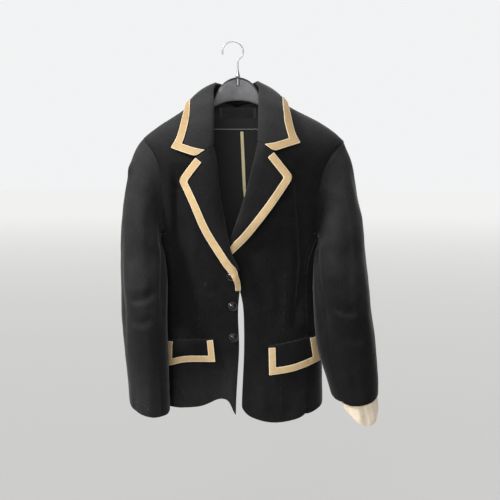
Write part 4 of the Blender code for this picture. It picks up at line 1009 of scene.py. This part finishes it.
    right_arm_folds: tuple[Fold, ...] = (
        Fold(((-46, -360), (-50, -430), (-44, -500), (-40, -580)), -4.6, 12.0, 0.2, 0.3),
        Fold(((-22, -320), (-12, -400), (-14, -490)), 2.0, 13.0),
        Fold(((6, -300), (14, -380), (10, -470), (16, -560)), -2.8, 12.0, -0.2),
        Fold(((-30, -506), (0, -522), (36, -520)), -2.0, 9.0, 0.3),
        Fold(((-26, -562), (8, -574), (44, -566)), -1.6, 9.0, -0.3),
        Fold(((44, -340), (40, -430), (46, -540), (42, -640)), 2.2, 15.0),
        Fold(((78, -330), (84, -430), (80, -560)), -2.8, 14.0, 0.1),
        Fold(((118, -380), (124, -500), (116, -620)), 2.4, 16.0),
        Fold(((0, -610), (4, -660), (8, -706)), -1.8, 13.0),
        Fold(((-104, -480), (-130, -506), (-148, -540)), -2.4, 11.0),
        Fold(((79, -226), (79, -280), (79, -350)), -5.0, 30.0, 0.0, 0.4),
    )
    arm_centre: dict[Side, tuple[Place, ...]] = field(
        default_factory=lambda: {
            Side.LEFT: (
                (-730, -170, -90), (-650, -174, -90), (-520, -181, -76),
                (-412, -184, -38), (-200, -186, -22),
            ),
            Side.RIGHT: (
                (-730, 234, -74), (-650, 220, -76), (-520, 203, -70),
                (-412, 198, -38), (-200, 200, -22),
            ),
        }
    )  # height, x and y, from the cuff up
    arm_radius: float = 50.0

    def body_outward(self, points: np.ndarray) -> np.ndarray:
        """The way out of the body.

        Args:
            points: Places in millimetres from the stem.

        Returns:
            A level direction at each of them.
        """
        x = (points[:, 0] - self.centre[0]) / self.half[0] ** 2
        y = (points[:, 1] - self.centre[1]) / self.half[1] ** 2
        return unit(np.stack([x, y, np.zeros(len(points))], 1))

    def arm_offset(self, side: Side, points: np.ndarray) -> np.ndarray:
        """How far places are from the middle of an arm.

        Args:
            side: Which arm.
            points: Places in millimetres from the stem.

        Returns:
            The level offset of each.
        """
        rows = self.arm_centre[side]
        heights = [row[0] for row in rows]
        x = points[:, 0] - np.interp(points[:, 2], heights, [row[1] for row in rows])
        y = points[:, 1] - np.interp(points[:, 2], heights, [row[2] for row in rows])
        return np.stack([x, y, np.zeros(len(points))], 1)

    def arm_drape(self, side: Side) -> Drape:
        """The folds of one sleeve.

        Args:
            side: Which sleeve.

        Returns:
            Its drape.
        """
        folds = self.left_arm_folds if side is Side.LEFT else self.right_arm_folds

        def outward(points: np.ndarray) -> np.ndarray:
            """The way out of the arm."""
            return unit(self.arm_offset(side, points))

        def across(points: np.ndarray) -> np.ndarray:
            """The angle round the arm from its front, times its radius."""
            off = self.arm_offset(side, points)
            return np.arctan2(off[:, 0] * side.value, -off[:, 1]) * self.arm_radius

        waves = (Unevenness(0.8, 90.0, 0.7 * side.value + 1.0), Unevenness(0.28, 30.0, 2.0))
        return Drape(folds, waves, outward, across)

    def body_drape(self, face: Face) -> Drape:
        """The folds of the front or of the back.

        Args:
            face: Which of them.

        Returns:
            Its drape.
        """
        folds = self.front_folds if face is Face.FRONT else self.back_folds
        waves = (Unevenness(0.7, 110.0, 0.3), Unevenness(0.25, 34.0, 1.1))
        return Drape(folds, waves, self.body_outward, lambda points: points[:, 0])

    def fitting(self, node: str) -> tuple[Drape, Drape | None]:
        """The drapes of a piece.

        Args:
            node: The piece's solid.

        Returns:
            Its own, and for a side panel the back's as well.
        """
        if "sleeve" in node:
            return self.arm_drape(Side.LEFT if node.endswith("left") else Side.RIGHT), None
        if node.startswith("side"):
            return self.body_drape(Face.FRONT), self.body_drape(Face.BACK)
        return self.body_drape(Face.FRONT if node.startswith("front") else Face.BACK), None

    def build(self) -> dict[str, Cloth]:
        """Carries the panels over, drapes them and sews them together.

        Returns:
            The panels by their solids' names.
        """
        made = {}
        for node, levels in self.levels.items():
            evened = self.cap if node.endswith("sleeve_right") else (0, 0.0)
            made[node] = Cloth(node, levels, relax=evened)
        self.find_seams(made)
        for node, cloth in made.items():
            share = eased(np.clip(cloth.armhole / self.calm, 0.0, 1.0))
            first, second = self.fitting(node)
            if second is None:
                move = first.move(cloth.points, share)
            else:
                depth = cloth.points[:, 1] - self.centre[1] - self.turn[0]
                back = np.clip(depth / self.turn[1], 0.0, 1.0)
                move = first.move(cloth.points, share * (1 - back))
                move += second.move(cloth.points, share * back)
            outward = first.outward(cloth.points)
            dip = self.seam_dip * np.exp(-((cloth.seam / self.seam_width) ** 2))
            cloth.points += move - outward * dip[:, None]
        self.sew(made)
        return made

    def find_seams(self, made: dict[str, Cloth]) -> None:
        """Notes how far each point of a panel is from its seams.

        Args:
            made: The panels by their solids' names.
        """
        for node, cloth in made.items():
            mates = [(name, other.rim) for name, other in made.items() if self.sewn(node, name)]
            arms = [rim for name, rim in mates if ("sleeve" in name) != ("sleeve" in node)]
            high = cloth.rim[cloth.rim[:, 2] > self.armhole_low]
            armhole = self.shared(high, arms, self.sleeve_within)
            panels = [rim for name, rim in mates if ("sleeve" in name) == ("sleeve" in node)]
            cloth.armhole = cloth.distance_to(armhole)
            seams = self.shared(cloth.rim, panels, self.sewn_within)
            cloth.seam = np.minimum(cloth.armhole, cloth.distance_to(seams))
            cloth.note("seam", cloth.seam)

    def sew(self, made: dict[str, Cloth]) -> None:
        """Closes the slits along the seams.

        Args:
            made: The panels by their solids' names.
        """
        for _ in range(self.rounds):
            trees = {node: cloth.surface() for node, cloth in made.items()}
            for node, cloth in made.items():
                cloth.points += self.pull(cloth, [trees[name] for name in made if self.sewn(node, name)])

    @staticmethod
    def sewn(one: str, other: str) -> bool:
        """Whether two panels are sewn to each other.

        Args:
            one: The first panel's solid.
            other: The second panel's solid.

        Returns:
            True for two panels of one side, and for the two backs.
        """
        if one == other:
            return False
        backs = one.startswith("back") and other.startswith("back")
        return backs or one.rsplit("_", 1)[1] == other.rsplit("_", 1)[1]

    @staticmethod
    def shared(rim: np.ndarray, others: Sequence[np.ndarray], within: float) -> np.ndarray:
        """The stretch of an outline that runs along other pieces' outlines.

        Args:
            rim: Points of the outline.
            others: Points of the others' outlines.
            within: How near they count as sewn.

        Returns:
            The outline's points on that stretch.
        """
        tree = search_tree(np.concatenate(others))
        return np.array([p for p in rim if tree.find(p)[2] < within])

    def pull(self, cloth: Cloth, others: Sequence[BVHTree]) -> np.ndarray:
        """How each point near a seam moves to meet the neighbouring panel halfway.

        Args:
            cloth: The panel.
            others: The panels that it is sewn to.

        Returns:
            The moves in millimetres.
        """
        moves = np.zeros_like(cloth.points)
        edge = np.where((cloth.rim_distance < self.edge) & (cloth.seam < self.sewn_within))[0]
        found = search_tree(cloth.points[edge])
        shifts = []
        for index in edge:
            place = to_world(cloth.points[index])
            near = [tree.find_nearest(place, self.reach * MM) for tree in others]
            near = [hit for hit in near if hit[0] is not None]
            gap = np.zeros(3)
            if near:
                gap = np.array(min(near, key=lambda hit: hit[3])[0] - place) / MM
            shifts.append(gap * self.meet)
        for index in np.where(cloth.seam < self.give)[0]:
            _, i, away = found.find(cloth.points[index])
            moves[index] = shifts[i] * max(0.0, 1.0 - away / self.give) ** 2
        return moves

    def dress(self, made: dict[str, Cloth], finishes: Finishes) -> None:
        """Gives each panel its finish, with painted light on the body's inner faces.

        Args:
            made: The panels by their solids' names.
            finishes: The blazer's finishes.
        """
        for node, cloth in made.items():
            if "sleeve" not in node:
                outward = self.body_outward(cloth.points)
                # painted light: the inner faces get the wool's paler inside colour
                cloth.note("inside", -np.sum(outward * cloth.normals(), axis=1))
            cloth.fade(self.painted_light.get(node, 0.0), self.hem_painted_light.get(node, 0.0))
            self.cuts[node].declare(cloth.finish(finishes.wool, "wool"))


LAID_REACH = 0.014  # how far below a piece the cloth that carries it may be, in metres
LANDED_FROM = 0.006  # how far off the moved place the search for the new surface starts, in metres
LANDED_REACH = 0.03  # how far it looks
LAID_LIMIT = 1.6  # a correction above this, in millimetres, is a miss


def lay(cloth: Cloth, move: Callable[[np.ndarray], np.ndarray], bases: Sequence[Cloth]) -> None:
    """Moves a piece with the cloth below it, and keeps its height over that cloth.

    Args:
        cloth: The piece that lies on others.
        move: The move of the cloth below at given points.
        bases: The pieces that it lies on, already dressed.
    """
    old = [base.plain for base in bases]
    new = [base.surface() for base in bases]
    moved = cloth.points + move(cloth.points)
    for i, (before, after) in enumerate(zip(cloth.points, moved)):
        start = to_world(before)
        hits = [tree.find_nearest(start, LAID_REACH) for tree in old]
        hits = [hit for hit in hits if hit[0] is not None and (start - hit[0]).dot(hit[1]) > 0]
        if not hits:
            continue
        spot, normal, _, _ = min(hits, key=lambda hit: hit[3])
        height = (start - spot).dot(normal)
        place = to_world(after)
        landed = [tree.ray_cast(place + normal * LANDED_FROM, -normal, LANDED_REACH) for tree in new]
        landed = [hit for hit in landed if hit[0] is not None]
        if not landed:
            continue
        hit = min(landed, key=lambda found: found[3])
        correction = (height - (place - hit[0]).dot(normal)) / MM
        if abs(correction) < LAID_LIMIT:
            moved[i] = after + np.array(normal) * correction
    cloth.points = moved


@dataclass
class Trimmings:
    """Lapels, collar and pocket flaps with their felt bands."""

    shell: Shell
    wave: Unevenness = Unevenness(0.55, 60.0, 0.9)
    collar_wave: Unevenness = Unevenness(0.45, 48.0, 2.2)
    # painted light on the whole collar and lapels, most on the collar
    painted_light: dict[str, float] = field(
        default_factory=lambda: {"collar": 0.40, "lapel_left": 0.16, "lapel_right": 0.10}
    )
    cuts: dict[str, Cut] = field(
        default_factory=lambda: {
            "lapel_left": Cut((0.090, 0.269), 0.0141, ("front_left_cloth",)),
            "lapel_right": Cut((0.092, 0.258), 0.0129, ("front_right_cloth",)),
            "lapel_trim_left": Cut((0.0155, 0.302), 0.0045, ("lapel_left_cloth",)),
            "lapel_trim_right": Cut((0.0155, 0.255), 0.0037, ("lapel_right_cloth",)),
            "flap_left": Cut((0.106, 0.054), 0.0048, ("front_left_cloth",)),
            "flap_right": Cut((0.118, 0.059), 0.0063, ("front_right_cloth",)),
            "flap_trim_left": Cut((0.0125, 0.197), 0.0022, ("flap_left_cloth",)),
            "flap_trim_right": Cut((0.014, 0.219), 0.0028, ("flap_right_cloth",)),
            "collar": Cut((0.113, 0.510), 0.0418, ("back_left_cloth", "back_right_cloth")),
            "collar_trim": Cut((0.0155, 0.606), 0.0092, ("collar_cloth",)),
        }
    )
    collar_middle: Place = (0.0, 5.0, -160.0)

    def front_move(self, points: np.ndarray) -> np.ndarray:
        """How the fronts' folds move what lies on them."""
        return self.shell.body_drape(Face.FRONT).move(points)

    def lapel_move(self, points: np.ndarray) -> np.ndarray:
        """How a lapel moves: by the front's folds, and by a slight wave of its own.

        Args:
            points: Places in millimetres from the stem.

        Returns:
            The moves in millimetres.
        """
        moves = self.front_move(points)
        moves[:, 1] -= self.wave.height(points)
        return moves

    def collar_move(self, points: np.ndarray) -> np.ndarray:
        """A slight wave along the collar."""
        return unit(points - self.collar_middle) * self.collar_wave.height(points)[:, None]

    def build(self, panels: dict[str, Cloth], finishes: Finishes) -> dict[str, Cloth]:
        """Builds and dresses every piece that lies on the body.

        Args:
            panels: The body's panels, already draped.
            finishes: The blazer's finishes.

        Returns:
            The pieces by their solids' names.
        """
        made: dict[str, Cloth] = {}
        for side in ("left", "right"):
            lapel = self.upper(made, f"lapel_{side}", self.lapel_move, [])
            self.band(made, f"lapel_trim_{side}", self.lapel_move, lapel)
            below = [panels[f"front_{side}"], panels[f"side_{side}"]]
            flap = self.upper(made, f"flap_{side}", self.front_move, below)
            self.band(made, f"flap_trim_{side}", self.front_move, flap)
        collar = self.upper(made, "collar", self.collar_move, [])
        self.band(made, "collar_trim", self.collar_move, collar)
        for node, cloth in made.items():
            cloth.fade(self.painted_light.get(node, 0.0))
            if "trim" in node:
                done = cloth.finish(finishes.felt, "tan_felt")
            else:
                cloth.note("seam", cloth.seam)
                done = cloth.finish(finishes.wool, "wool")
            self.cuts[node].declare(done)
        return made

    @staticmethod
    def upper(
        made: dict[str, Cloth], node: str, move: Callable[[np.ndarray], np.ndarray],
        below: Sequence[Cloth],
    ) -> Cloth:
        """Carries over a wool piece that lies on the body.

        Args:
            made: Where it is kept.
            node: Its solid.
            move: How it moves.
            below: The pieces that it keeps its height over, if any.

        Returns:
            The piece.
        """
        made[node] = cloth = Cloth(node, 3)
        if below:
            lay(cloth, move, below)
        else:
            cloth.points += move(cloth.points)
        return cloth

    @staticmethod
    def band(
        made: dict[str, Cloth], node: str, move: Callable[[np.ndarray], np.ndarray], below: Cloth
    ) -> None:
        """Carries over a felt band and lays it on its piece."""
        made[node] = Cloth(node, 2, 0.3)
        lay(made[node], move, [below])


@dataclass
class NeckInside:
    """The facing inside the back neck, its piping, the bare label and the seam's binding."""

    pucker: float = 0.7  # how far the piping is drawn up and down at its right end
    pucker_out: float = 0.3
    pucker_turn: float = 0.62  # radians for each millimetre
    puckered: Point = (14.0, 20.0)  # where it starts, and how far on it is full
    pieces: tuple[tuple[str, float], ...] = (
        ("back_neck_facing", 0.3), ("facing_piping", 0.25),
        ("neck_label", 0.12), ("back_seam_binding", 0.12),
    )  # with the width of their rounded edges
    facing_cut: Cut = Cut((0.098, 0.048), 0.0046, ("back_left_cloth", "back_right_cloth"))
    label_cut: Cut = Cut((0.073, 0.0215), 0.00156, ("back_neck_facing_cloth",))

    def build(self, shell: Shell, finishes: Finishes) -> None:
        """Builds and dresses the pieces.

        Args:
            shell: The body that they lie in.
            finishes: The blazer's finishes.
        """
        drape = shell.body_drape(Face.BACK)
        made = {}
        for node, bevel in self.pieces:
            made[node] = cloth = Cloth(node, 2, bevel)
            cloth.points += drape.move(cloth.points)
        piping = made["facing_piping"]
        x = piping.points[:, 0]
        drawn = np.clip((x - self.puckered[0]) / self.puckered[1], 0.0, 1.0)
        piping.points[:, 2] += self.pucker * drawn * np.sin(x * self.pucker_turn)
        piping.points[:, 1] -= self.pucker_out * drawn * (1.0 + np.sin(x * self.pucker_turn + 1.0))
        facing = made["back_neck_facing"]
        facing.note("seam", facing.seam)
        # painted light: the whole facing gets the wool's paler inside colour
        facing.note("inside", np.ones(len(facing.points)))
        label = made["neck_label"].finish(finishes.satin, "label_satin")
        pipe = piping.finish(finishes.piping, "grey_piping")
        made["back_seam_binding"].finish(finishes.binding, "pale_binding")
        self.facing_cut.declare(facing.finish(finishes.wool, "wool"), [pipe])
        self.label_cut.declare(label)


@dataclass
class CuffLining:
    """The beige lining that droops out of the right cuff in soft pleats."""

    node: str = "sleeve_lining_right"
    cut: Cut = Cut((0.279, 0.054), 0.0096, ("top_sleeve_right_cloth",))
    pleats: tuple[Fold, ...] = (
        Fold(((-30, -668), (-26, -710), (-20, -742)), -2.2, 7.0, 0.2, 0.3),
        Fold(((-8, -672), (0, -712), (6, -748)), 1.6, 8.0),
        Fold(((14, -672), (20, -716), (26, -756)), -2.4, 8.0, -0.2, 0.3),
        Fold(((34, -668), (42, -712), (46, -750)), 1.8, 9.0),
        Fold(((60, -664), (64, -706), (66, -742)), -2.0, 8.0),
        Fold(((96, -664), (98, -700)), 1.5, 10.0),
        Fold(((-70, -664), (-74, -700)), -1.5, 10.0),
    )
    wave: Unevenness = Unevenness(0.4, 26.0, 0.4)
    shows: Point = (-676.0, 16.0)  # the height where its drape starts, and the drop to full

    def build(self, shell: Shell, finishes: Finishes) -> None:
        """Builds and dresses the lining.

        Args:
            shell: The sleeve that it hangs out of.
            finishes: The blazer's finishes.
        """
        cloth = Cloth(self.node, 3, 0.25)
        arm = shell.arm_drape(Side.RIGHT)
        drape = Drape(self.pleats, (self.wave,), arm.outward, arm.across)
        shown = np.clip((self.shows[0] - cloth.points[:, 2]) / self.shows[1], 0.0, 1.0)
        cloth.points += drape.move(cloth.points, shown)
        self.cut.declare(cloth.finish(finishes.lining, "beige_lining"))


@dataclass
class ArmholeTapes:
    """The doubled cloth inside the front of each armhole's low end, which closes it to the light."""

    middle: dict[Side, Place] = field(
        default_factory=lambda: {Side.LEFT: (-145.0, -42.0, -368.0), Side.RIGHT: (157.0, -44.0, -368.0)}
    )
    half: Point = (13.0, 26.0)
    rows: tuple[int, int] = (10, 16)
    narrowing: float = 0.45  # towards its two ends
    hollow: float = 4.0
    thickness: float = 1.2

    def build(self, finishes: Finishes) -> None:
        """Builds and dresses both.

        Args:
            finishes: The blazer's finishes.
        """
        for side, (x, y, z) in self.middle.items():
            work = bmesh.new()
            bmesh.ops.create_grid(work, x_segments=self.rows[0], y_segments=self.rows[1], size=1.0)
            for vert in work.verts:
                u, v, _ = vert.co
                narrow = 1.0 - self.narrowing * v * v
                back = self.hollow * (u * u + v * v)
                across = x + STEM_X + u * narrow * self.half[0]
                vert.co = Vector((across, y + back, z + v * self.half[1])) * MM
            bmesh.ops.solidify(work, geom=work.faces[:], thickness=self.thickness * MM)
            bmesh.ops.recalc_face_normals(work, faces=work.faces)
            made = smooth_object(work, f"armhole_tape_{side.name.lower()}")
            settle(made, finishes.wool, "wool")


@dataclass
class Buttons:
    """Three domed black buttons, each with a raised ring, sewn on by a shank."""

    profile: tuple[Point, ...] = (
        (0.0, 0.2), (3.6, 0.2), (3.8, 1.2), (7.6, 1.5), (9.1, 2.2), (9.6, 3.2), (9.3, 4.2), (8.4, 4.7),
        (7.5, 4.5), (6.9, 4.2), (6.1, 4.6), (4.9, 5.9), (3.3, 7.0), (1.7, 7.6), (0.0, 7.8),
    )
    steps: int = 48
    tilts: dict[str, Point] = field(
        default_factory=lambda: {
            "button_1": (0.10, -0.08), "button_2": (-0.12, 0.10), "button_3": (-0.10, 0.12),
        }
    )
    sunk: float = 0.3

    def build(self, finishes: Finishes) -> None:
        """Turns each button and sets it on its solid's place.

        Args:
            finishes: The blazer's finishes.
        """
        for node, (pitch, yaw) in self.tilts.items():
            low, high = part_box(node)
            work = turned(self.profile, self.steps)
            place = Vector(((low.x + high.x) / 2, high.y - self.sunk * MM, (low.z + high.z) / 2))
            turn = Matrix.Rotation(math.pi / 2 + pitch, 4, "X") @ Matrix.Rotation(yaw, 4, "Y")
            bmesh.ops.transform(work, matrix=Matrix.Translation(place) @ turn, verts=work.verts)
            settle(smooth_object(work, f"{node}_dome"), finishes.button, "button", node)


@dataclass
class Hanger:
    """The grey moulded hanger with its dark rim, the hook and its ferrule."""

    rim_line: tuple[Point, ...] = (
        (-44, -107), (-41, -100), (-36, -92), (-30, -84.5), (-22, -77.5), (-11, -72), (0, -70.4),
        (11, -72), (22, -77.5), (30, -84.5), (36, -92), (41, -100), (44, -107),
    )
    rim_radius: float = 1.8
    bead_y: float = -4.2
    slot_top: float = -74.5
    slot_low: float = -87.0
    slot_half: float = 3.1
    slot_radius: float = 0.8
    slot_steps: int = 8
    pin_line: tuple[Point, ...] = ((0.0, -72.0), (0.0, -79.0), (0.0, -84.6))
    pin_radius: float = 1.7
    ferrule: tuple[Point, ...] = (
        (1.9, -54.0), (2.4, -58.0), (3.4, -63.0), (4.4, -66.5), (4.6, -68.4), (1.8, -68.5),
    )
    ferrule_steps: int = 32

    def build(self, finishes: Finishes) -> None:
        """Builds and dresses the hanger, its rim, slot, pin, ferrule and hook.

        Args:
            finishes: The blazer's finishes.
        """
        bar = Cloth("hanger", 2, 0.8)
        bar.object.name = "hanger_bar"
        bar.finish(finishes.plastic, "hanger_plastic")
        hook = Cloth("hook", 2, 0.0)
        hook.object.name = "hook_wire"
        hook.finish(finishes.chrome, "hook_chrome")
        settle(self.bead("hanger_rim", self.rim_line, self.rim_radius), finishes.rim, "hanger_plastic")
        settle(self.bead("hanger_slot", self.slot(), self.slot_radius), finishes.rim, "hanger_plastic")
        settle(self.bead("hook_pin", self.pin_line, self.pin_radius), finishes.pin, "hook_chrome")
        ferrule = smooth_object(turned(self.ferrule, self.ferrule_steps, STEM_X), "hook_ferrule")
        settle(ferrule, finishes.chrome, "hook_chrome")

    def slot(self) -> list[Point]:
        """The line round the slot that the hook's end sits in.

        Returns:
            Its points, across and height.
        """
        line = [(-self.slot_half, self.slot_top)]
        middle = self.slot_low + self.slot_half
        for step in range(self.slot_steps + 1):
            turn = math.pi * step / self.slot_steps
            line.append((-self.slot_half * math.cos(turn), middle - self.slot_half * math.sin(turn)))
        return [*line, (self.slot_half, self.slot_top)]

    def bead(self, name: str, line: Sequence[Point], radius: float) -> bpy.types.Object:
        """A round bead along a line on the hanger's front face.

        Args:
            name: The piece's name.
            line: Its points, across and height.
            radius: Its radius.

        Returns:
            The bead.
        """
        curve = bpy.data.curves.new(name, "CURVE")
        curve.dimensions = "3D"
        curve.bevel_depth = radius * MM
        curve.bevel_resolution = 4
        curve.use_fill_caps = True
        spline = curve.splines.new("NURBS")
        spline.points.add(len(line) - 1)
        for point, (x, z) in zip(spline.points, line):
            point.co = ((x + STEM_X) * MM, self.bead_y * MM, z * MM, 1.0)
        spline.use_endpoint_u = True
        spline.order_u = 3
        spline.resolution_u = 6
        drawn = link_object(f"{name}_line", curve)
        mesh = bpy.data.meshes.new_from_object(drawn.evaluated_get(bpy.context.evaluated_depsgraph_get()))
        bpy.data.objects.remove(drawn)
        mesh.materials.clear()
        mesh.shade_smooth()
        return link_object(name, mesh)


@dataclass(frozen=True)
class Stitches:
    """A row of short pale stitches along a line, seen from the front."""

    name: str
    pitch: float
    length: float
    radius: float
    skip: int  # after so many stitches one has sunk into the nap, or none has at 0
    line: Sequence[Point]


@dataclass
class Sewing:
    """Stitching that shows on the wool, and the lint that clings to it."""

    rows: tuple[Stitches, ...] = (
        Stitches(
            "dart_stitches_right", 4.6, 2.6, 0.17, 3, ((92, -447), (91, -500), (89, -545), (88, -579))
        ),
        Stitches("dart_stitches_right_low", 4.8, 2.6, 0.16, 3, ((84, -652), (84, -690), (84, -724))),
        Stitches("dart_stitches_left", 5.2, 2.4, 0.14, 2, ((-73, -486), (-74, -530), (-76, -570))),
        Stitches("dart_stitches_left_low", 5.2, 2.4, 0.13, 2, ((-73, -640), (-73, -676))),
        Stitches(
            "seam_stitches_right", 3.6, 2.9, 0.30, 0, ((156, -380), (148, -398), (139, -424), (134, -456))
        ),
        Stitches("seam_stitches_right_low", 4.4, 2.6, 0.18, 3, ((134, -460), (134, -505), (137, -560))),
        Stitches(
            "flap_stitches_right", 4.0, 2.6, 0.22, 2, ((60, -589), (84, -587), (114, -581), (140, -573))
        ),
        Stitches(
            "flap_stitches_left", 4.4, 2.8, 0.22, 2, ((-132, -581), (-104, -580), (-76, -578), (-58, -577))
        ),
    )
    lint: tuple[Sequence[Point], ...] = (
        ((-205, -700), (-196, -693), (-189, -690), (-181, -694), (-172, -700), (-167, -706)),
        ((-223, -519), (-221, -524), (-224, -528)),
        ((-228, -541), (-226, -546)),
        ((-231, -556), (-227, -553)),
        ((-66, -468), (-63, -474), (-60, -467)),
        ((-110, -680), (-104, -688), (-101, -690)),
        ((108, -352), (110, -356)),
        ((206, -300), (208, -304)),
        ((233, -430), (236, -434)),
        ((44, -470), (46, -474)),
        ((-60, -300), (-58, -304)),
    )
    lint_radius: float = 0.20
    lint_clearance: float = 0.25
    clearance: float = 0.12
    looked_from: float = -0.4  # y of the place that the rows are seen from, in metres
    looked_through: float = 0.6
    stray: float = 0.25  # how far a stitch is from its line
    longest: Point = (0.75, 0.35)  # a stitch's least length, and what is added to it, as shares

    def build(self, cloths: Sequence[Cloth], finishes: Finishes) -> None:
        """Lays each row and each bit of lint on the dressed cloth.

        Args:
            cloths: The pieces that they lie on.
            finishes: The blazer's finishes.
        """
        trees = [cloth.surface() for cloth in cloths]
        for row in self.rows:
            self.sew_row(row, trees, finishes.thread)
        for k, line in enumerate(self.lint):
            spots = [self.drop(trees, x, z, self.lint_clearance) for x, z in line]
            spots = [spot for spot in spots if spot is not None]
            if len(spots) > 1:
                work = bmesh.new()
                for a, b in zip(spots, spots[1:]):
                    self.thread(work, a, b, self.lint_radius)
                settle(smooth_object(work, f"lint_{k + 1}"), finishes.lint, "wool")

    def drop(self, trees: Sequence[BVHTree], x: float, z: float, off: float) -> Vector | None:
        """The first place on the cloth that a line from the front meets.

        Args:
            trees: The dressed pieces.
            x: The line's place across, in millimetres from the stem.
            z: Its height.
            off: How far the place is raised off the cloth.

        Returns:
            The raised place in metres, or None where there is no cloth.
        """
        start = Vector(((x + STEM_X) * MM, self.looked_from, z * MM))
        hits = [tree.ray_cast(start, Vector((0, 1, 0)), self.looked_through) for tree in trees]
        hits = [hit for hit in hits if hit[0] is not None]
        if not hits:
            return None
        spot, normal, _, _ = min(hits, key=lambda hit: hit[3])
        return spot + normal * (off * MM)

    def sew_row(self, row: Stitches, trees: Sequence[BVHTree], material: bpy.types.Material) -> None:
        """Lays one row of stitches.

        Args:
            row: The row.
            trees: The dressed pieces.
            material: The thread's finish.
        """
        line = np.array(row.line, float)
        starts = np.concatenate([[0.0], np.cumsum(np.linalg.norm(np.diff(line, axis=0), axis=1))])
        work = bmesh.new()
        count = int(starts[-1] / row.pitch)
        for k in range(count):
            if row.skip and k % (row.skip + 1) == row.skip:
                continue
            size = row.length * (self.longest[0] + self.longest[1] * math.sin(2.7 * k) ** 2)
            ends = []
            for at in (k * row.pitch, k * row.pitch + size):
                x, z = (float(np.interp(at, starts, line[:, c])) for c in (0, 1))
                x += self.stray * math.sin(3.1 * k)
                ends.append(self.drop(trees, x, z, self.clearance))
            if None not in ends:
                self.thread(work, ends[0], ends[1], row.radius)
        settle(smooth_object(work, row.name), material, "wool")

    @staticmethod
    def thread(work: bmesh.types.BMesh, a: Vector, b: Vector, radius: float) -> None:
        """A short round thread that thins at its ends.

        Args:
            work: The mesh that it is added to.
            a: Its start in metres.
            b: Its end in metres.
            radius: Its radius in millimetres.
        """
        way = b - a
        turn = way.to_track_quat("Z", "Y").to_matrix().to_4x4()
        place = Matrix.Translation((a + b) / 2) @ turn
        ball = bmesh.ops.create_uvsphere(work, u_segments=6, v_segments=5, radius=1.0)
        scale = Matrix.Diagonal((radius * MM, radius * MM, max(way.length / 2, radius * MM), 1.0))
        bmesh.ops.transform(work, matrix=place @ scale, verts=ball["verts"])


@dataclass(frozen=True)
class Lamp:
    """A wide, far light."""

    name: str
    source: Place
    power: float
    angle: float  # how wide it is, in degrees

    def build(self) -> None:
        """Sets it up, shining from its source to the origin."""
        light = bpy.data.lights.new(self.name, "SUN")
        light.energy = self.power
        light.angle = math.radians(self.angle)
        made = link_object(self.name, light)
        made.rotation_euler = (-Vector(self.source)).to_track_quat("-Z", "Y").to_euler()


@dataclass
class Studio:
    """A pale floor, a soft key from the upper left, weaker lights and a pale surround."""

    floor_z: float = -1.06
    floor_half: float = 30.0
    lamps: tuple[Lamp, ...] = (
        Lamp("key", (-0.78, -0.26, 0.57), 3.5, 12.0),
        Lamp("fill", (-0.26, -0.94, 0.20), 1.65, 50.0),
        Lamp("top", (-0.12, -0.22, 0.97), 0.9, 50.0),
        Lamp("back", (0.30, 0.62, 0.72), 2.2, 40.0),
    )
    air: Rgb = (0.985, 0.99, 1.0)
    ambient: float = 0.26
    seen: float = 0.90
    camera_place: Place = (0.034, -2.2, -0.234)
    camera_aim: Place = (0.034, 0.0, -0.411)
    lens: float = 79.456
    sensor: float = 36.0
    clip: Point = (0.05, 100.0)

    def build(self, finishes: Finishes) -> None:
        """Builds the floor, the lights, the surround and the camera.

        Args:
            finishes: The finishes, with the floor's.
        """
        work = bmesh.new()
        bmesh.ops.create_grid(work, x_segments=1, y_segments=1, size=self.floor_half)
        bmesh.ops.translate(work, vec=(0, 0, self.floor_z), verts=work.verts)
        floor = smooth_object(work, "floor")
        floor.data.materials.append(finishes.floor)
        for lamp in self.lamps:
            lamp.build()
        self.surround()
        lens = bpy.data.cameras.new("camera")
        lens.lens = self.lens
        lens.sensor_width = self.sensor
        lens.clip_start, lens.clip_end = self.clip
        camera = link_object("camera", lens)
        camera.location = self.camera_place
        aim = Vector(self.camera_aim) - Vector(self.camera_place)
        camera.rotation_euler = aim.to_track_quat("-Z", "Y").to_euler()
        bpy.context.scene.camera = camera
        bpy.context.scene.view_settings.view_transform = "Standard"

    def surround(self) -> None:
        """A pale surround that lights the cloth less than it shows."""
        world = bpy.data.worlds.new("surround")
        world.use_nodes = True
        tree = world.node_tree
        path = tree.nodes.new("ShaderNodeLightPath")
        power = tree.nodes.new("ShaderNodeMapRange")
        power.inputs["To Min"].default_value = self.ambient
        power.inputs["To Max"].default_value = self.seen
        back = tree.nodes["Background"]
        back.inputs["Color"].default_value = (*self.air, 1.0)
        tree.links.new(path.outputs["Is Camera Ray"], power.inputs["Value"])
        tree.links.new(power.outputs[0], back.inputs["Strength"])
        bpy.context.scene.world = world


def main() -> None:
    """Builds the blazer, its hanger and the studio."""
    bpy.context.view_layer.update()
    finishes = Finishes()
    shell = Shell()
    panels = shell.build()
    trimmings = Trimmings(shell).build(panels, finishes)
    Sewing().build([*panels.values(), *trimmings.values()], finishes)
    shell.dress(panels, finishes)
    NeckInside().build(shell, finishes)
    CuffLining().build(shell, finishes)
    ArmholeTapes().build(finishes)
    Buttons().build(finishes)
    Hanger().build(finishes)
    Studio().build(finishes)


if __name__ == "__main__":
    main()
